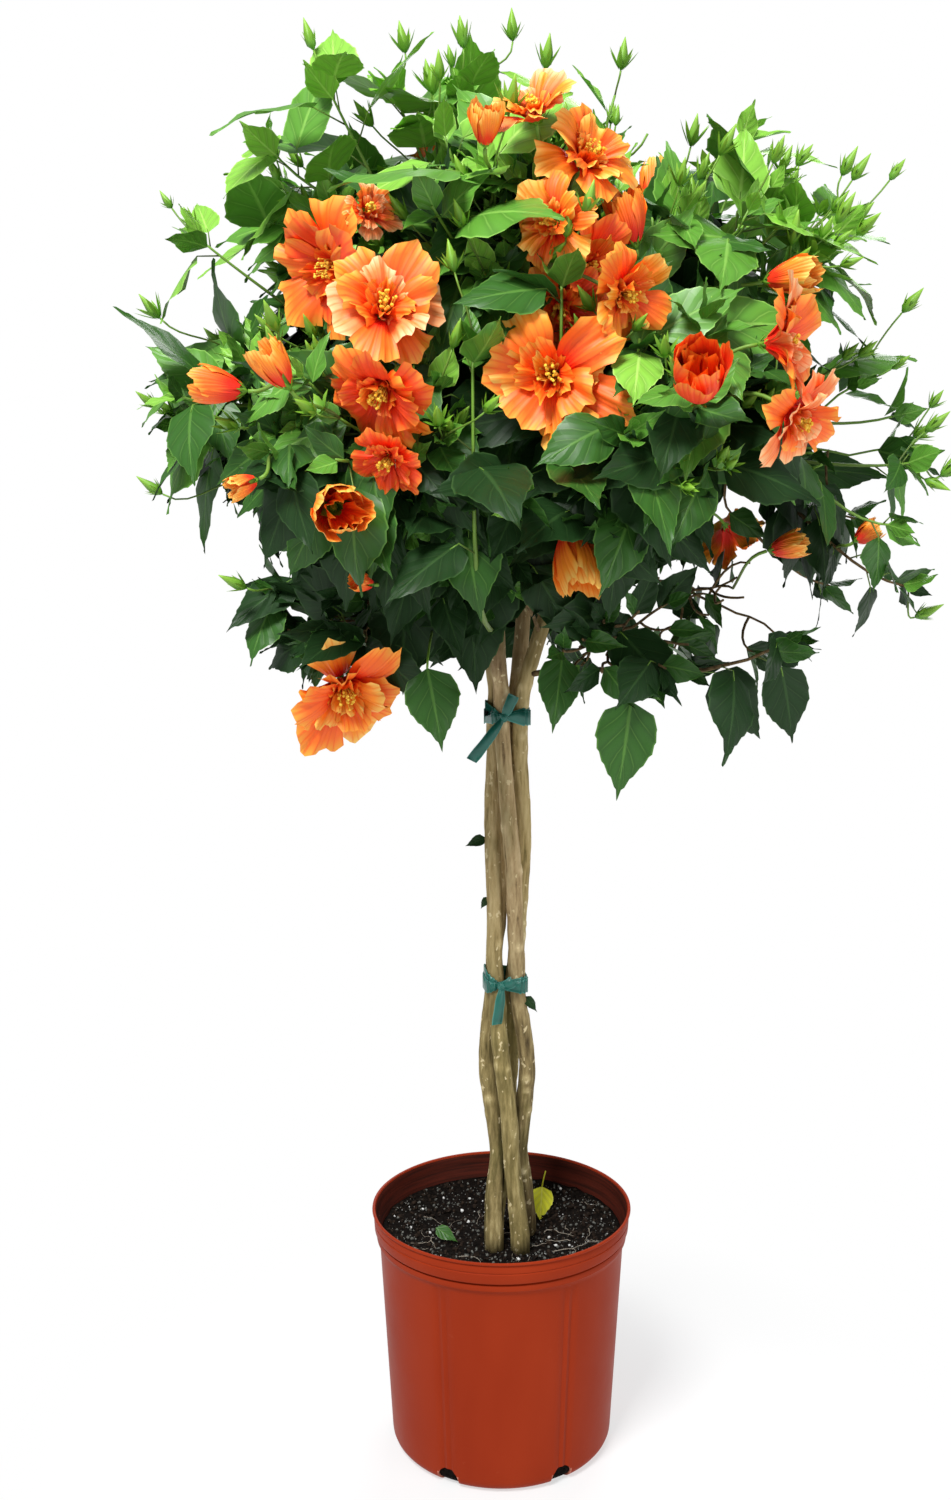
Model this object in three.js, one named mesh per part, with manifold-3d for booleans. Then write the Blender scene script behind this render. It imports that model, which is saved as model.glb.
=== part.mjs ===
// A double orange hibiscus grown as a braided standard, in its nursery pot.
// Millimetres, +Z up. The origin is the middle of the pot's flat underside, and the front faces -Y.
// Bearings are degrees in plan, counted from +X towards +Y, so 270 is the front.

import * as THREE from 'three';
import { mergeVertices } from 'three/addons/utils/BufferGeometryUtils.js';
import Module from 'manifold-3d';

const wasm = await Module();
wasm.setup();

// ---------- driving dimensions ----------

const GAP = 0.35;                     // clearance between pieces that touch

const POT_HEIGHT = 245;
const POT_RIM_RADIUS = 130;
const POT_NECK_RADIUS = 122.5;        // body just under the rim band
const POT_BASE_RADIUS = 111.5;
const POT_WALL = 2;
const POT_CORNER = 12;                // radius of the rounded bottom corner
const POT_BAND = 23;                  // height of the band under the lip
const POT_SIDES = 44;
const DRAIN_HOLES = 6;
const DRAIN_RADIUS = 10;
const DRAIN_BEARING = 32;             // the first hole's bearing, the others follow evenly

const SOIL_TOP = 207;
const SOIL_RISE = 14;                  // how far the soil rises to the wall
const SOIL_FLAT_RADIUS = 62;

const FORK_HEIGHT = 757;              // where the braided stems part
const STEM_FOOT_BEARINGS = [47, 133, 236, 297];
const STEM_PHASES = [45, 135, 225, 315];
const BRAID_TWIST = -0.3;             // degrees per millimetre of height
const STEM_SIDES = 8;
const BRAID_RINGS = 22;

const TIE_HEIGHTS = { tie_lower: 478, tie_upper: 742 };
const TIE_SLOPES = { tie_lower: -0.3, tie_upper: -0.12 };
const TIE_WIDTH = 12;
const TIE_THICKNESS = 1.2;

const CROWN_CENTRE = new THREE.Vector3(28, 0, 1015);
const HOLLOW_CENTRE = new THREE.Vector3(16, 0, 925);
const HOLLOW_RADIUS = 148;            // bare space among the boughs in the middle of the crown
const TRUNK_CLEARANCE = 46;
const MASS_GAP = 2;
const BOUGH_SIDES = 6;
const BOUGH_RINGS = 7;
const BOUGH_STAGGER = 0.022;          // share of a stem's length between neighbouring boughs

// Height against the radius of the circle that the four stems' middles stand on.
const BRAID_SPREAD = [[207, 28], [255, 18.5], [305, 13.2], [345, 16.5], [388, 19.5], [430, 16.5], [478, 12.5],
  [600, 18.2], [690, 14], [742, 11.9], [757, 12.6]];
// Height against how far the trunk leans to the right of the pot's middle.
const TRUNK_LEAN = [[210, 8], [325, 7], [478, 3.5], [600, 6.5], [742, 5], [757, 7]];
const STEM_RADII = [[207, 9.3], [325, 8.6], [478, 8.2], [757, 7.7]];
const ROOT_FLARE = 1.6;
const ROOT_FLARE_HEIGHT = 14;

// The masses of foliage: bearing and lift (degrees) and reach (mm) of each middle from the crown's
// middle, its radius, and how far one shoot stands out of it on the side away from the crown.
const MASSES = {
  low_right:         { bearing: 4,   lift: -46, reach: 234, radius: 140, shoot: 24, stem: 1 },
  low_back:          { bearing: 78,  lift: -44, reach: 224, radius: 138, shoot: 10, stem: 2 },
  low_back_left:     { bearing: 143, lift: -43, reach: 220, radius: 136, shoot: 8,  stem: 2 },
  low_left:          { bearing: 208, lift: -47, reach: 228, radius: 136, shoot: 18, stem: 3 },
  low_front:         { bearing: 300, lift: -56, reach: 232, radius: 134, shoot: 26, stem: 0 },
  middle_right:      { bearing: 356, lift: -4,  reach: 222, radius: 142, shoot: 26, stem: 1 },
  middle_back_right: { bearing: 55,  lift: 0,   reach: 232, radius: 142, shoot: 14, stem: 1 },
  middle_back:       { bearing: 112, lift: -3,  reach: 228, radius: 140, shoot: 10, stem: 2 },
  middle_left:       { bearing: 178, lift: 3,   reach: 225, radius: 140, shoot: 24, stem: 3 },
  middle_front_left: { bearing: 236, lift: -3,  reach: 230, radius: 140, shoot: 12, stem: 3 },
  middle_front:      { bearing: 296, lift: 0,   reach: 228, radius: 140, shoot: 12, stem: 0 },
  upper_right:       { bearing: 18,  lift: 40,  reach: 216, radius: 140, shoot: 16, stem: 1 },
  upper_back:        { bearing: 88,  lift: 43,  reach: 214, radius: 136, shoot: 12, stem: 2 },
  upper_left:        { bearing: 168, lift: 40,  reach: 228, radius: 138, shoot: 22, stem: 3 },
  upper_front:       { bearing: 258, lift: 42,  reach: 214, radius: 138, shoot: 10, stem: 0 },
  upper_front_right: { bearing: 322, lift: 36,  reach: 212, radius: 134, shoot: 8,  stem: 0 },
  top_left:          { bearing: 166, lift: 74,  reach: 214, radius: 134, shoot: 18, stem: 3 },
  top_right:         { bearing: 10,  lift: 78,  reach: 206, radius: 132, shoot: 12, stem: 1 },
};
// The mass that each braided stem runs up to; every other mass hangs on a bough of its own.
const STEM_ENDS = ['upper_front', 'upper_right', 'upper_back', 'top_left'];

// ---------- small helpers ----------

const radians = THREE.MathUtils.degToRad;

function direction(bearing, lift) {
  const b = radians(bearing), e = radians(lift);
  return new THREE.Vector3(Math.cos(e) * Math.cos(b), Math.cos(e) * Math.sin(b), Math.sin(e));
}

// Eased value between the rows of a [height, value] table.
function along(table, height) {
  let k = 1;
  while (k < table.length - 1 && height > table[k][0]) k += 1;
  const [z0, v0] = table[k - 1], [z1, v1] = table[k];
  return THREE.MathUtils.lerp(v0, v1, THREE.MathUtils.smoothstep(height, z0, z1));
}

function closed(geometry) {
  const plain = geometry.clone();
  plain.deleteAttribute('normal');
  if (plain.attributes.uv) plain.deleteAttribute('uv');
  return mergeVertices(plain, 1e-3);
}

function toSolid(geometry) {
  const merged = closed(geometry);
  return new wasm.Manifold(new wasm.Mesh({
    numProp: 3,
    vertProperties: new Float32Array(merged.attributes.position.array),
    triVerts: new Uint32Array(merged.index.array),
  }));
}

function toGeometry(solid) {
  const mesh = solid.getMesh();
  const geometry = new THREE.BufferGeometry();
  geometry.setAttribute('position', new THREE.BufferAttribute(new Float32Array(mesh.vertProperties), 3));
  geometry.setIndex(new THREE.BufferAttribute(new Uint32Array(mesh.triVerts), 1));
  return geometry;
}

// A cylinder carried along a curve, with its radius set by how far along it is (0 to 1).
function limb(curve, radiusAt, sides, rings) {
  const geometry = new THREE.CylinderGeometry(1, 1, 1, sides, rings);
  const frames = curve.computeFrenetFrames(rings, false);
  const position = geometry.attributes.position;
  const here = new THREE.Vector3();
  for (let k = 0; k < position.count; k += 1) {
    const share = position.getY(k) + 0.5;
    const ring = Math.round(share * rings);
    const radius = radiusAt(share);
    here.copy(curve.getPointAt(share));
    here.addScaledVector(frames.normals[ring], position.getX(k) * radius);
    here.addScaledVector(frames.binormals[ring], -position.getZ(k) * radius);
    position.setXYZ(k, here.x, here.y, here.z);
  }
  return outward(geometry);
}

// Turns the faces round if the shape came out with them pointing in.
function outward(geometry) {
  const merged = closed(geometry);
  const p = merged.attributes.position, index = merged.index.array;
  const a = new THREE.Vector3(), b = new THREE.Vector3(), c = new THREE.Vector3();
  let volume = 0;
  for (let k = 0; k < index.length; k += 3) {
    a.fromBufferAttribute(p, index[k]);
    b.fromBufferAttribute(p, index[k + 1]);
    c.fromBufferAttribute(p, index[k + 2]);
    volume += a.dot(b.cross(c));
  }
  if (volume < 0) {
    for (let k = 0; k < index.length; k += 3) [index[k + 1], index[k + 2]] = [index[k + 2], index[k + 1]];
  }
  return merged;
}

function standing(geometry) {
  return geometry.rotateX(Math.PI / 2);   // a lathe or cylinder turns about Y until it is stood up
}

// ---------- pot and soil ----------

function potProfile() {
  const neck = POT_HEIGHT - POT_BAND;
  const points = [[0, 0]];
  for (let k = 0; k <= 3; k += 1) {
    const turn = radians(-90 + 30 * k);
    points.push([POT_BASE_RADIUS - POT_CORNER + POT_CORNER * Math.cos(turn), POT_CORNER * (1 + Math.sin(turn))]);
  }
  points.push([POT_NECK_RADIUS, neck - 10], [POT_NECK_RADIUS + 2.5, neck - 7], [POT_NECK_RADIUS + 2.5, neck - 2]);
  points.push([POT_RIM_RADIUS - 2.5, neck], [POT_RIM_RADIUS - 1, POT_HEIGHT - 4], [POT_RIM_RADIUS, POT_HEIGHT - 3]);
  points.push([POT_RIM_RADIUS, POT_HEIGHT], [POT_RIM_RADIUS - POT_WALL * 1.6, POT_HEIGHT]);
  points.push([POT_NECK_RADIUS - POT_WALL, neck - 10], [POT_BASE_RADIUS - POT_WALL, POT_CORNER]);
  points.push([POT_BASE_RADIUS - POT_CORNER, POT_WALL], [0, POT_WALL]);
  return points.map(([r, z]) => new THREE.Vector2(r, z));
}

function pot() {
  let solid = toSolid(outward(standing(new THREE.LatheGeometry(potProfile(), POT_SIDES))));
  for (let k = 0; k < DRAIN_HOLES; k += 1) {
    const bearing = DRAIN_BEARING - 90 + (360 / DRAIN_HOLES) * k;
    const hole = new THREE.CylinderGeometry(DRAIN_RADIUS, DRAIN_RADIUS, 24, 12);
    hole.rotateZ(Math.PI / 2).translate(POT_BASE_RADIUS, 0, DRAIN_RADIUS * 0.4).rotateZ(radians(bearing));
    solid = solid.subtract(toSolid(hole));
  }
  return toGeometry(solid);
}

function soil() {
  const slope = (POT_NECK_RADIUS - POT_BASE_RADIUS) / (POT_HEIGHT - POT_BAND - 10 - POT_CORNER);
  const inside = (z) => POT_BASE_RADIUS + slope * (z - POT_CORNER) - POT_WALL - 3 * GAP;
  const edge = SOIL_TOP + SOIL_RISE;
  const points = [[0, POT_WALL + GAP], [POT_BASE_RADIUS - POT_CORNER - 3, POT_WALL + GAP],
    [inside(POT_CORNER + 3) - 1, POT_CORNER + 3], [inside(edge), edge], [SOIL_FLAT_RADIUS, SOIL_TOP], [0, SOIL_TOP]];
  return outward(standing(new THREE.LatheGeometry(points.map(([r, z]) => new THREE.Vector2(r, z)), POT_SIDES)));
}

// ---------- braided stems ----------

function braidPoint(stem, z) {
  const settle = Math.exp(-(z - SOIL_TOP) / 60);
  const foot = (STEM_FOOT_BEARINGS[stem] - STEM_PHASES[stem]) * settle;
  const bearing = radians(STEM_PHASES[stem] + foot + BRAID_TWIST * (z - SOIL_TOP));
  const spread = along(BRAID_SPREAD, z);
  return new THREE.Vector3(along(TRUNK_LEAN, z) + spread * Math.cos(bearing), spread * Math.sin(bearing), z);
}

// The point just inside a mass where the limb that feeds it ends.
function massEntry(name) {
  const { middle } = massPlaces[name];
  return HOLLOW_CENTRE.clone().lerp(middle, 0.86);
}

function stemCurve(stem) {
  const points = [];
  const bottom = SOIL_TOP + GAP;
  for (let k = 0; k <= BRAID_RINGS; k += 1) {
    points.push(braidPoint(stem, bottom + (FORK_HEIGHT - bottom) * (k / BRAID_RINGS)));
  }
  const top = points[points.length - 1], entry = massEntry(STEM_ENDS[stem]);
  const axis = new THREE.Vector3(along(TRUNK_LEAN, FORK_HEIGHT), 0, FORK_HEIGHT);
  const lean = top.clone().sub(axis).multiplyScalar(2.2);
  const leaving = top.clone().add(lean).add(new THREE.Vector3(0, 0, 85));
  const arriving = entry.clone().sub(direction(MASSES[STEM_ENDS[stem]].bearing, 50).multiplyScalar(90));
  const upper = new THREE.CubicBezierCurve3(top, leaving, arriving, entry);
  for (let k = 1; k <= 8; k += 1) points.push(upper.getPoint(k / 8));
  return new THREE.CatmullRomCurve3(points, false, 'centripetal');
}

function stemRadius(stem, share) {
  const z = stemCurves[stem].getPointAt(share).z;
  const flare = ROOT_FLARE * Math.exp(-(z - SOIL_TOP) / ROOT_FLARE_HEIGHT);
  const swelling = 0.25 * Math.sin(z / 23 + 2 * stem);
  const taper = z > FORK_HEIGHT ? THREE.MathUtils.lerp(1, 0.6, (z - FORK_HEIGHT) / 300) : 1;
  return (along(STEM_RADII, Math.min(z, FORK_HEIGHT)) + flare + swelling) * taper;
}

function stemSolid(stem) {
  const geometry = limb(stemCurves[stem], (share) => stemRadius(stem, share), STEM_SIDES, BRAID_RINGS + 10);
  const position = geometry.attributes.position;
  const bottom = SOIL_TOP + GAP;
  for (let k = 0; k < position.count; k += 1) {
    if (position.getZ(k) < bottom + 6) position.setZ(k, bottom);   // the flat cut at the soil
  }
  return toSolid(geometry);
}

// ---------- ties ----------

function tie(name) {
  const height = TIE_HEIGHTS[name];
  const lean = along(TRUNK_LEAN, height);
  const inner = along(BRAID_SPREAD, height) + along(STEM_RADII, height) + 1.4;
  const outer = inner + TIE_THICKNESS;
  const band = new THREE.Shape().absarc(0, 0, outer, 0, 2 * Math.PI);
  band.holes.push(new THREE.Path().absarc(0, 0, inner, 0, 2 * Math.PI, true));
  const ring = new THREE.ExtrudeGeometry(band, { depth: TIE_WIDTH, bevelEnabled: false, curveSegments: 14 });
  ring.translate(0, 0, -TIE_WIDTH / 2);
  const position = ring.attributes.position;
  for (let k = 0; k < position.count; k += 1) {
    position.setZ(k, position.getZ(k) + TIE_SLOPES[name] * position.getX(k));
  }
  let solid = toSolid(ring.translate(lean, 0, height));
  const knot = new THREE.BoxGeometry(9, 5, 9).translate(lean - 3, -outer - 1.5, height);
  solid = solid.add(toSolid(knot));
  for (const tail of TIE_TAILS[name]) {
    const blade = new THREE.BoxGeometry(8, TIE_THICKNESS, tail.length).translate(0, 0, tail.length / 2);
    blade.rotateY(radians(tail.lean)).translate(lean - 3, -outer - 2.5, height);
    solid = solid.add(toSolid(blade));
  }
  return toGeometry(solid);
}

// Tails of each knot: how far they lean from straight up, clockwise from the front, and their length.
const TIE_TAILS = {
  tie_lower: [{ lean: 193, length: 46 }],
  tie_upper: [{ lean: 26, length: 24 }, { lean: 218, length: 50 }],
};

// ---------- crown ----------

const massNames = Object.keys(MASSES);
const massPlaces = {};
massNames.forEach((name, order) => {
  const { bearing, lift, reach } = MASSES[name];
  const out = direction(bearing, lift);
  massPlaces[name] = { middle: CROWN_CENTRE.clone().addScaledVector(out, reach), out, seed: order + 1 };
});

// Flat sides that a mass may not cross: half-way to each neighbour, the hollow and the trunk.
function limits(name) {
  const { middle } = massPlaces[name];
  const sides = [];
  for (const other of massNames) {
    if (other === name) continue;
    const towards = massPlaces[other].middle.clone().sub(middle);
    const apart = towards.length();
    const share = 0.5 + (MASSES[name].radius ** 2 - MASSES[other].radius ** 2) / (2 * apart ** 2);
    sides.push({ normal: towards.normalize(), distance: apart * share - MASS_GAP / 2 });
  }
  const inwards = HOLLOW_CENTRE.clone().sub(middle);
  sides.push({ distance: inwards.length() - HOLLOW_RADIUS, normal: inwards.normalize() });
  const trunk = new THREE.Vector3(along(TRUNK_LEAN, FORK_HEIGHT) - middle.x, -middle.y, 0);
  const away = trunk.length();
  if (middle.z < CROWN_CENTRE.z) sides.push({ distance: away - TRUNK_CLEARANCE, normal: trunk.normalize() });
  return sides;
}

function unevenness(way, seed) {
  return 0.075 * Math.sin(3.3 * way.x + 1.7 * seed) * Math.cos(2.9 * way.y - seed)
    + 0.055 * Math.sin(5.1 * way.z + 2.3 * seed + 2.2 * way.x)
    + 0.045 * Math.cos(7.3 * way.y + 4.1 * seed - 3.7 * way.x);
}

// A lump whose radius in each direction is uneven, with a shoot on its outer side, cut by its limits.
function massGeometry(name, grow = 0) {
  const { middle, out, seed } = massPlaces[name];
  const { radius, shoot } = MASSES[name];
  const sides = limits(name);
  const geometry = new THREE.IcosahedronGeometry(1, 2);
  const position = geometry.attributes.position;
  const way = new THREE.Vector3();
  for (let k = 0; k < position.count; k += 1) {
    way.fromBufferAttribute(position, k).normalize();
    let far = radius * (1 + unevenness(way, seed)) + shoot * Math.exp(-9 * (1 - way.dot(out)));
    for (const side of sides) {
      const facing = way.dot(side.normal);
      if (facing > 1e-4) far = Math.min(far, side.distance / facing);
    }
    way.multiplyScalar(far + grow).add(middle);
    position.setXYZ(k, way.x, way.y, way.z);
  }
  return outward(geometry);
}

// ---------- boughs ----------

const stemCurves = STEM_ENDS.map((end, stem) => stemCurve(stem));

// A bough leaves its stem above the fork, lower down the lower its mass is, and ends in that mass.
function boughSolid(name) {
  const { stem, lift, bearing } = MASSES[name];
  const entry = massEntry(name);
  const stagger = BOUGH_STAGGER * (massPlaces[name].seed % 3);
  const share = THREE.MathUtils.mapLinear(lift, -60, 80, 0.655, 0.84) + stagger;
  const start = stemCurves[stem].getPointAt(share);
  const leaving = start.clone().add(direction(bearing, lift < -20 ? 12 : 55).multiplyScalar(45));
  const arriving = entry.clone().sub(massPlaces[name].out.clone().multiplyScalar(50));
  const curve = new THREE.CubicBezierCurve3(start, leaving, arriving, entry);
  const thick = stemRadius(stem, share) * 0.72;
  return toSolid(limb(curve, (s) => THREE.MathUtils.lerp(thick, thick * 0.6, s), BOUGH_SIDES, BOUGH_RINGS));
}

// A stem grown a little, so that what is cut by it stays clear.
function grownStem(stem) {
  return toSolid(limb(stemCurves[stem], (share) => stemRadius(stem, share) + 2 * GAP, STEM_SIDES, BRAID_RINGS + 10));
}

// ---------- the scene ----------

const COLOURS = {
  pot: { color: 0xa83a24, roughness: 0.5 },
  soil: { color: 0x1d1813, roughness: 1.0 },
  bark: { color: 0x8a6f45, roughness: 0.85 },
  tie: { color: 0x1f7566, roughness: 0.4 },
  leaf: { color: 0x3f6b28, roughness: 0.6 },
};

const hibiscus = new THREE.Group();

function place(name, geometry, finish) {
  const mesh = new THREE.Mesh(geometry, new THREE.MeshStandardMaterial({ ...COLOURS[finish], metalness: 0 }));
  mesh.name = name;
  hibiscus.add(mesh);
}

place('pot', pot(), 'pot');
place('soil', soil(), 'soil');
place('tie_lower', tie('tie_lower'), 'tie');
place('tie_upper', tie('tie_upper'), 'tie');

const grownMasses = {};
for (const name of massNames) {
  place(`mass_${name}`, massGeometry(name), 'leaf');
  grownMasses[name] = toSolid(massGeometry(name, 3 * GAP));
}
STEM_ENDS.forEach((end, stem) => {
  place(`stem_${stem + 1}`, toGeometry(stemSolid(stem).subtract(grownMasses[end])), 'bark');
});
for (const name of massNames) {
  if (STEM_ENDS.includes(name)) continue;
  const bough = boughSolid(name).subtract(grownMasses[name]).subtract(grownStem(MASSES[name].stem));
  place(`bough_${name}`, toGeometry(bough), 'bark');
}

export default hibiscus;
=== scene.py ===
# %% [markdown]
# # A braided hibiscus standard in its nursery pot
#
# The real plant is four young hibiscus stems braided into one trunk, tied twice, and clipped above so that
# they carry a round head of toothed leaves, long-stalked buds and ruffled double blooms. It stands in a
# red-brown plastic pot of dark potting mix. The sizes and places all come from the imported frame. The frame's
# closed lumps only say where each part of the head is, so each is replaced by twigs, leaves and flowers.

# %% Frame
import math
import bpy
import numpy as np
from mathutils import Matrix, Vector, noise
from mathutils.bvhtree import BVHTree


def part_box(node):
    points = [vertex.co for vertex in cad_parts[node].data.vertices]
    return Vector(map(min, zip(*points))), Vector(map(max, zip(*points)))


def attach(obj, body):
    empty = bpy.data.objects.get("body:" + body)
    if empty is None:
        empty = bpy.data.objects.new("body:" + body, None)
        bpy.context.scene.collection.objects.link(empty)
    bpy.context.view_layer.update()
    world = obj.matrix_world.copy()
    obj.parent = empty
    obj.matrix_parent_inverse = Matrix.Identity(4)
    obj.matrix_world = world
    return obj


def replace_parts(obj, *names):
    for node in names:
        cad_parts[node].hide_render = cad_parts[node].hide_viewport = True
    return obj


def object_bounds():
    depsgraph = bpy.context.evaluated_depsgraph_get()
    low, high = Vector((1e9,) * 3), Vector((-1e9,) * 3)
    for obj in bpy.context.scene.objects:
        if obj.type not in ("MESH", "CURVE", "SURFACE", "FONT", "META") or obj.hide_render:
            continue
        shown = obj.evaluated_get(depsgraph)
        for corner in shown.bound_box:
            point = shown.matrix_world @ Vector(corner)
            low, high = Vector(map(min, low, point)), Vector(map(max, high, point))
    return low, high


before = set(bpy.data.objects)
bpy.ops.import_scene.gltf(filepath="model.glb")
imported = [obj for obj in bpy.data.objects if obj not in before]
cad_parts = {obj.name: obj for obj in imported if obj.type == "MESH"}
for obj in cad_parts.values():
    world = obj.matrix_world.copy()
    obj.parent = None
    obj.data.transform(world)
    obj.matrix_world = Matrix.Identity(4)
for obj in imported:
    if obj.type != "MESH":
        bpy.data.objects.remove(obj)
CAD_BOX = [list(corner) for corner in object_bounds()]
bpy.ops.object.select_all(action="DESELECT")
SEED = 27
rng = np.random.default_rng(SEED)
UP = np.array([0.0, 0.0, 1.0])
TURN = 2 * math.pi
MASSES = sorted(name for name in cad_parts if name.startswith("mass_"))
BOUGHS = sorted(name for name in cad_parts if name.startswith("bough_"))
STEMS = sorted(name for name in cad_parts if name.startswith("stem_"))
print("frame:", len(MASSES), "masses,", len(BOUGHS), "boughs,", len(STEMS), "stems")

# %% [markdown]
# ## Helpers for shader nodes
#
# Light and finish are both networks of nodes. A node could be made and linked by hand each time, in four or
# five lines. These functions do it in one, and hand back the output that the next node needs, so that the
# lines that are left say only what the finish is.

# %% Node helpers
def feed(tree, socket, value):
    """Links an output to a socket, or sets the socket's own value; a colour is given as red, green, blue."""
    if isinstance(value, bpy.types.NodeSocket):
        tree.links.new(value, socket)
    else:
        socket.default_value = (*value, 1) if socket.type == "RGBA" else value


def add_node(tree, kind, feeds=(), **settings):
    made = tree.nodes.new(kind)
    for key, value in settings.items():
        setattr(made, key, value)
    for key, value in dict(feeds).items():
        feed(tree, made.inputs[key], value)
    return made


def fade(tree, value, low, high, least=0.0):
    """Rises smoothly from least, where the value is below low, to 1 where it is above high."""
    feeds = {"Value": value, "From Min": low, "From Max": high, "To Min": least}
    return add_node(tree, "ShaderNodeMapRange", feeds, interpolation_type="SMOOTHSTEP").outputs[0]


def new_material(name, roughness, shine=0.5):
    material = bpy.data.materials.new(name)
    material.use_nodes = True
    inputs = material.node_tree.nodes["Principled BSDF"].inputs
    inputs["Roughness"].default_value = roughness
    inputs["Specular IOR Level"].default_value = shine
    return material, material.node_tree, inputs


# %% [markdown]
# ## Camera, light and floor
#
# A plain product view: the camera stands a little below the middle of the head and looks slightly down.
# White light comes from high in front, with a weaker fill on the right and a lamp behind, so that the middle
# of the head falls dark between the leaves. The floor and the surroundings are plain and pale.

# %% Camera
CAMERA_AWAY = 1.475
CAMERA_HEIGHT = 0.93
CAMERA_PITCH = math.radians(8.59)
LENS = 37.1
SIDE_SHIFT = -0.0173
SKY_COLOUR = (0.94, 0.97, 1.0)
SKY_STRENGTH = 0.33
FLOOR_RADIUS = 14
FLOOR_COLOUR = (0.86, 0.86, 0.86)
# The floor's own colour shows up to the first distance from the middle, and plain white from the second.
FLOOR_FADE = (0.16, 0.50)
# Name, place, what it shines at, size and watts.
LAMPS = [("key", (-0.9, -1.9, 3.3), (0, 0, 0.9), 1.0, 140),
         ("fill", (2.4, -1.8, 1.3), (0, 0, 0.8), 1.6, 20),
         ("back", (0.6, 2.6, 2.4), (0, 0, 0.9), 1.6, 40)]


def add_camera():
    bpy.ops.object.camera_add(location=(0, -CAMERA_AWAY, CAMERA_HEIGHT))
    camera = bpy.context.object
    camera.rotation_euler = (math.pi / 2 - CAMERA_PITCH, 0, 0)
    camera.data.lens = LENS
    camera.data.sensor_width = 36
    camera.data.shift_x = SIDE_SHIFT
    bpy.context.scene.camera = camera


def add_lamp(name, place, aim, size, watts):
    bpy.ops.object.light_add(type="AREA", location=place)
    lamp = bpy.context.object
    lamp.name = name
    lamp.data.size = size
    lamp.data.energy = watts
    lamp.rotation_euler = (Vector(aim) - Vector(place)).to_track_quat("-Z", "Y").to_euler()


def add_surroundings():
    """Soft pale light from all sides, and plain white where the camera looks past the plant."""
    world = bpy.data.worlds.new("pale_surroundings")
    world.use_nodes = True
    tree = world.node_tree
    soft = tree.nodes["Background"]
    feed(tree, soft.inputs["Color"], SKY_COLOUR)
    feed(tree, soft.inputs["Strength"], SKY_STRENGTH)
    seen = add_node(tree, "ShaderNodeBackground", {"Color": (1, 1, 1), "Strength": 1.0})
    looking = add_node(tree, "ShaderNodeLightPath").outputs["Is Camera Ray"]
    mix = add_node(tree, "ShaderNodeMixShader", {0: looking, 1: soft.outputs[0], 2: seen.outputs[0]})
    tree.links.new(mix.outputs[0], tree.nodes["World Output"].inputs["Surface"])
    bpy.context.scene.world = world
    bpy.context.scene.view_settings.view_transform = "Standard"


def add_floor():
    """A pale floor that turns to plain white away from the pot, so no horizon shows."""
    bpy.ops.mesh.primitive_circle_add(vertices=96, radius=FLOOR_RADIUS, fill_type="NGON",
                                      location=(0, 0, -0.0005))
    floor = bpy.context.object
    floor.name = "pale_floor"
    material, tree, inputs = new_material("pale_floor", 0.9)
    feed(tree, inputs["Base Color"], FLOOR_COLOUR)
    place = add_node(tree, "ShaderNodeTexCoord").outputs["Object"]
    away = add_node(tree, "ShaderNodeVectorMath", {0: place}, operation="LENGTH").outputs["Value"]
    mix = add_node(tree, "ShaderNodeMixShader", {
        0: fade(tree, away, *FLOOR_FADE, least=0.6),
        1: tree.nodes["Principled BSDF"].outputs[0],
        2: add_node(tree, "ShaderNodeEmission").outputs[0]})
    tree.links.new(mix.outputs[0], tree.nodes["Material Output"].inputs["Surface"])
    floor.data.materials.append(material)


add_camera()
add_surroundings()
add_floor()
for lamp in LAMPS:
    add_lamp(*lamp)
print("camera,", len(LAMPS), "lamps and a floor")

# %% [markdown]
# ## Helpers for meshes of many small things
#
# A leaf or a petal is shaped once, and thousands of copies are stamped into one mesh as arrays, each copy
# with its own place, turn and size. That keeps the script quick, and each kind ends up as one joined piece.

# %% Stamps and tubes
def unit(v):
    return v / (np.linalg.norm(v, axis=-1, keepdims=True) + 1e-12)


def square_to(v, axis):
    """The part of v that is square to axis, at length one."""
    return unit(v - axis * np.sum(v * axis, axis=-1, keepdims=True))


def make_piece(name, points, triangles, material, uv=None, smooth=True):
    """One mesh object from arrays, riding on the plant's only body."""
    points = np.asarray(points, dtype=np.float32)
    triangles = np.asarray(triangles, dtype=np.int32)
    mesh = bpy.data.meshes.new(name)
    mesh.vertices.add(len(points))
    mesh.vertices.foreach_set("co", points.ravel())
    mesh.loops.add(triangles.size)
    mesh.loops.foreach_set("vertex_index", triangles.ravel())
    mesh.polygons.add(len(triangles))
    mesh.polygons.foreach_set("loop_start", np.arange(0, triangles.size, 3, dtype=np.int32))
    if uv is not None:
        layer = mesh.uv_layers.new(name="OFBake")
        layer.data.foreach_set("uv", np.asarray(uv, dtype=np.float32)[triangles.ravel()].ravel())
    mesh.update(calc_edges=True)
    mesh.validate()
    mesh.polygons.foreach_set("use_smooth", [smooth] * len(mesh.polygons))
    mesh.materials.append(material)
    made = bpy.data.objects.new(name, mesh)
    bpy.context.scene.collection.objects.link(made)
    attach(made, "root")
    print(name, len(triangles), "triangles")
    return made


class Heap:
    """Gathers many small shapes, to be joined as one piece."""

    def __init__(self):
        self.points, self.triangles, self.uv, self.count = [], [], [], 0

    def add(self, points, triangles, uv=None):
        self.points.append(points)
        self.triangles.append(triangles + self.count)
        self.uv.append(np.zeros((len(points), 2)) if uv is None else uv)
        self.count += len(points)

    def piece(self, name, material, slot, smooth=True):
        return make_piece(name, np.concatenate(self.points), np.concatenate(self.triangles), material,
                          np.concatenate(self.uv), smooth)


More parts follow.
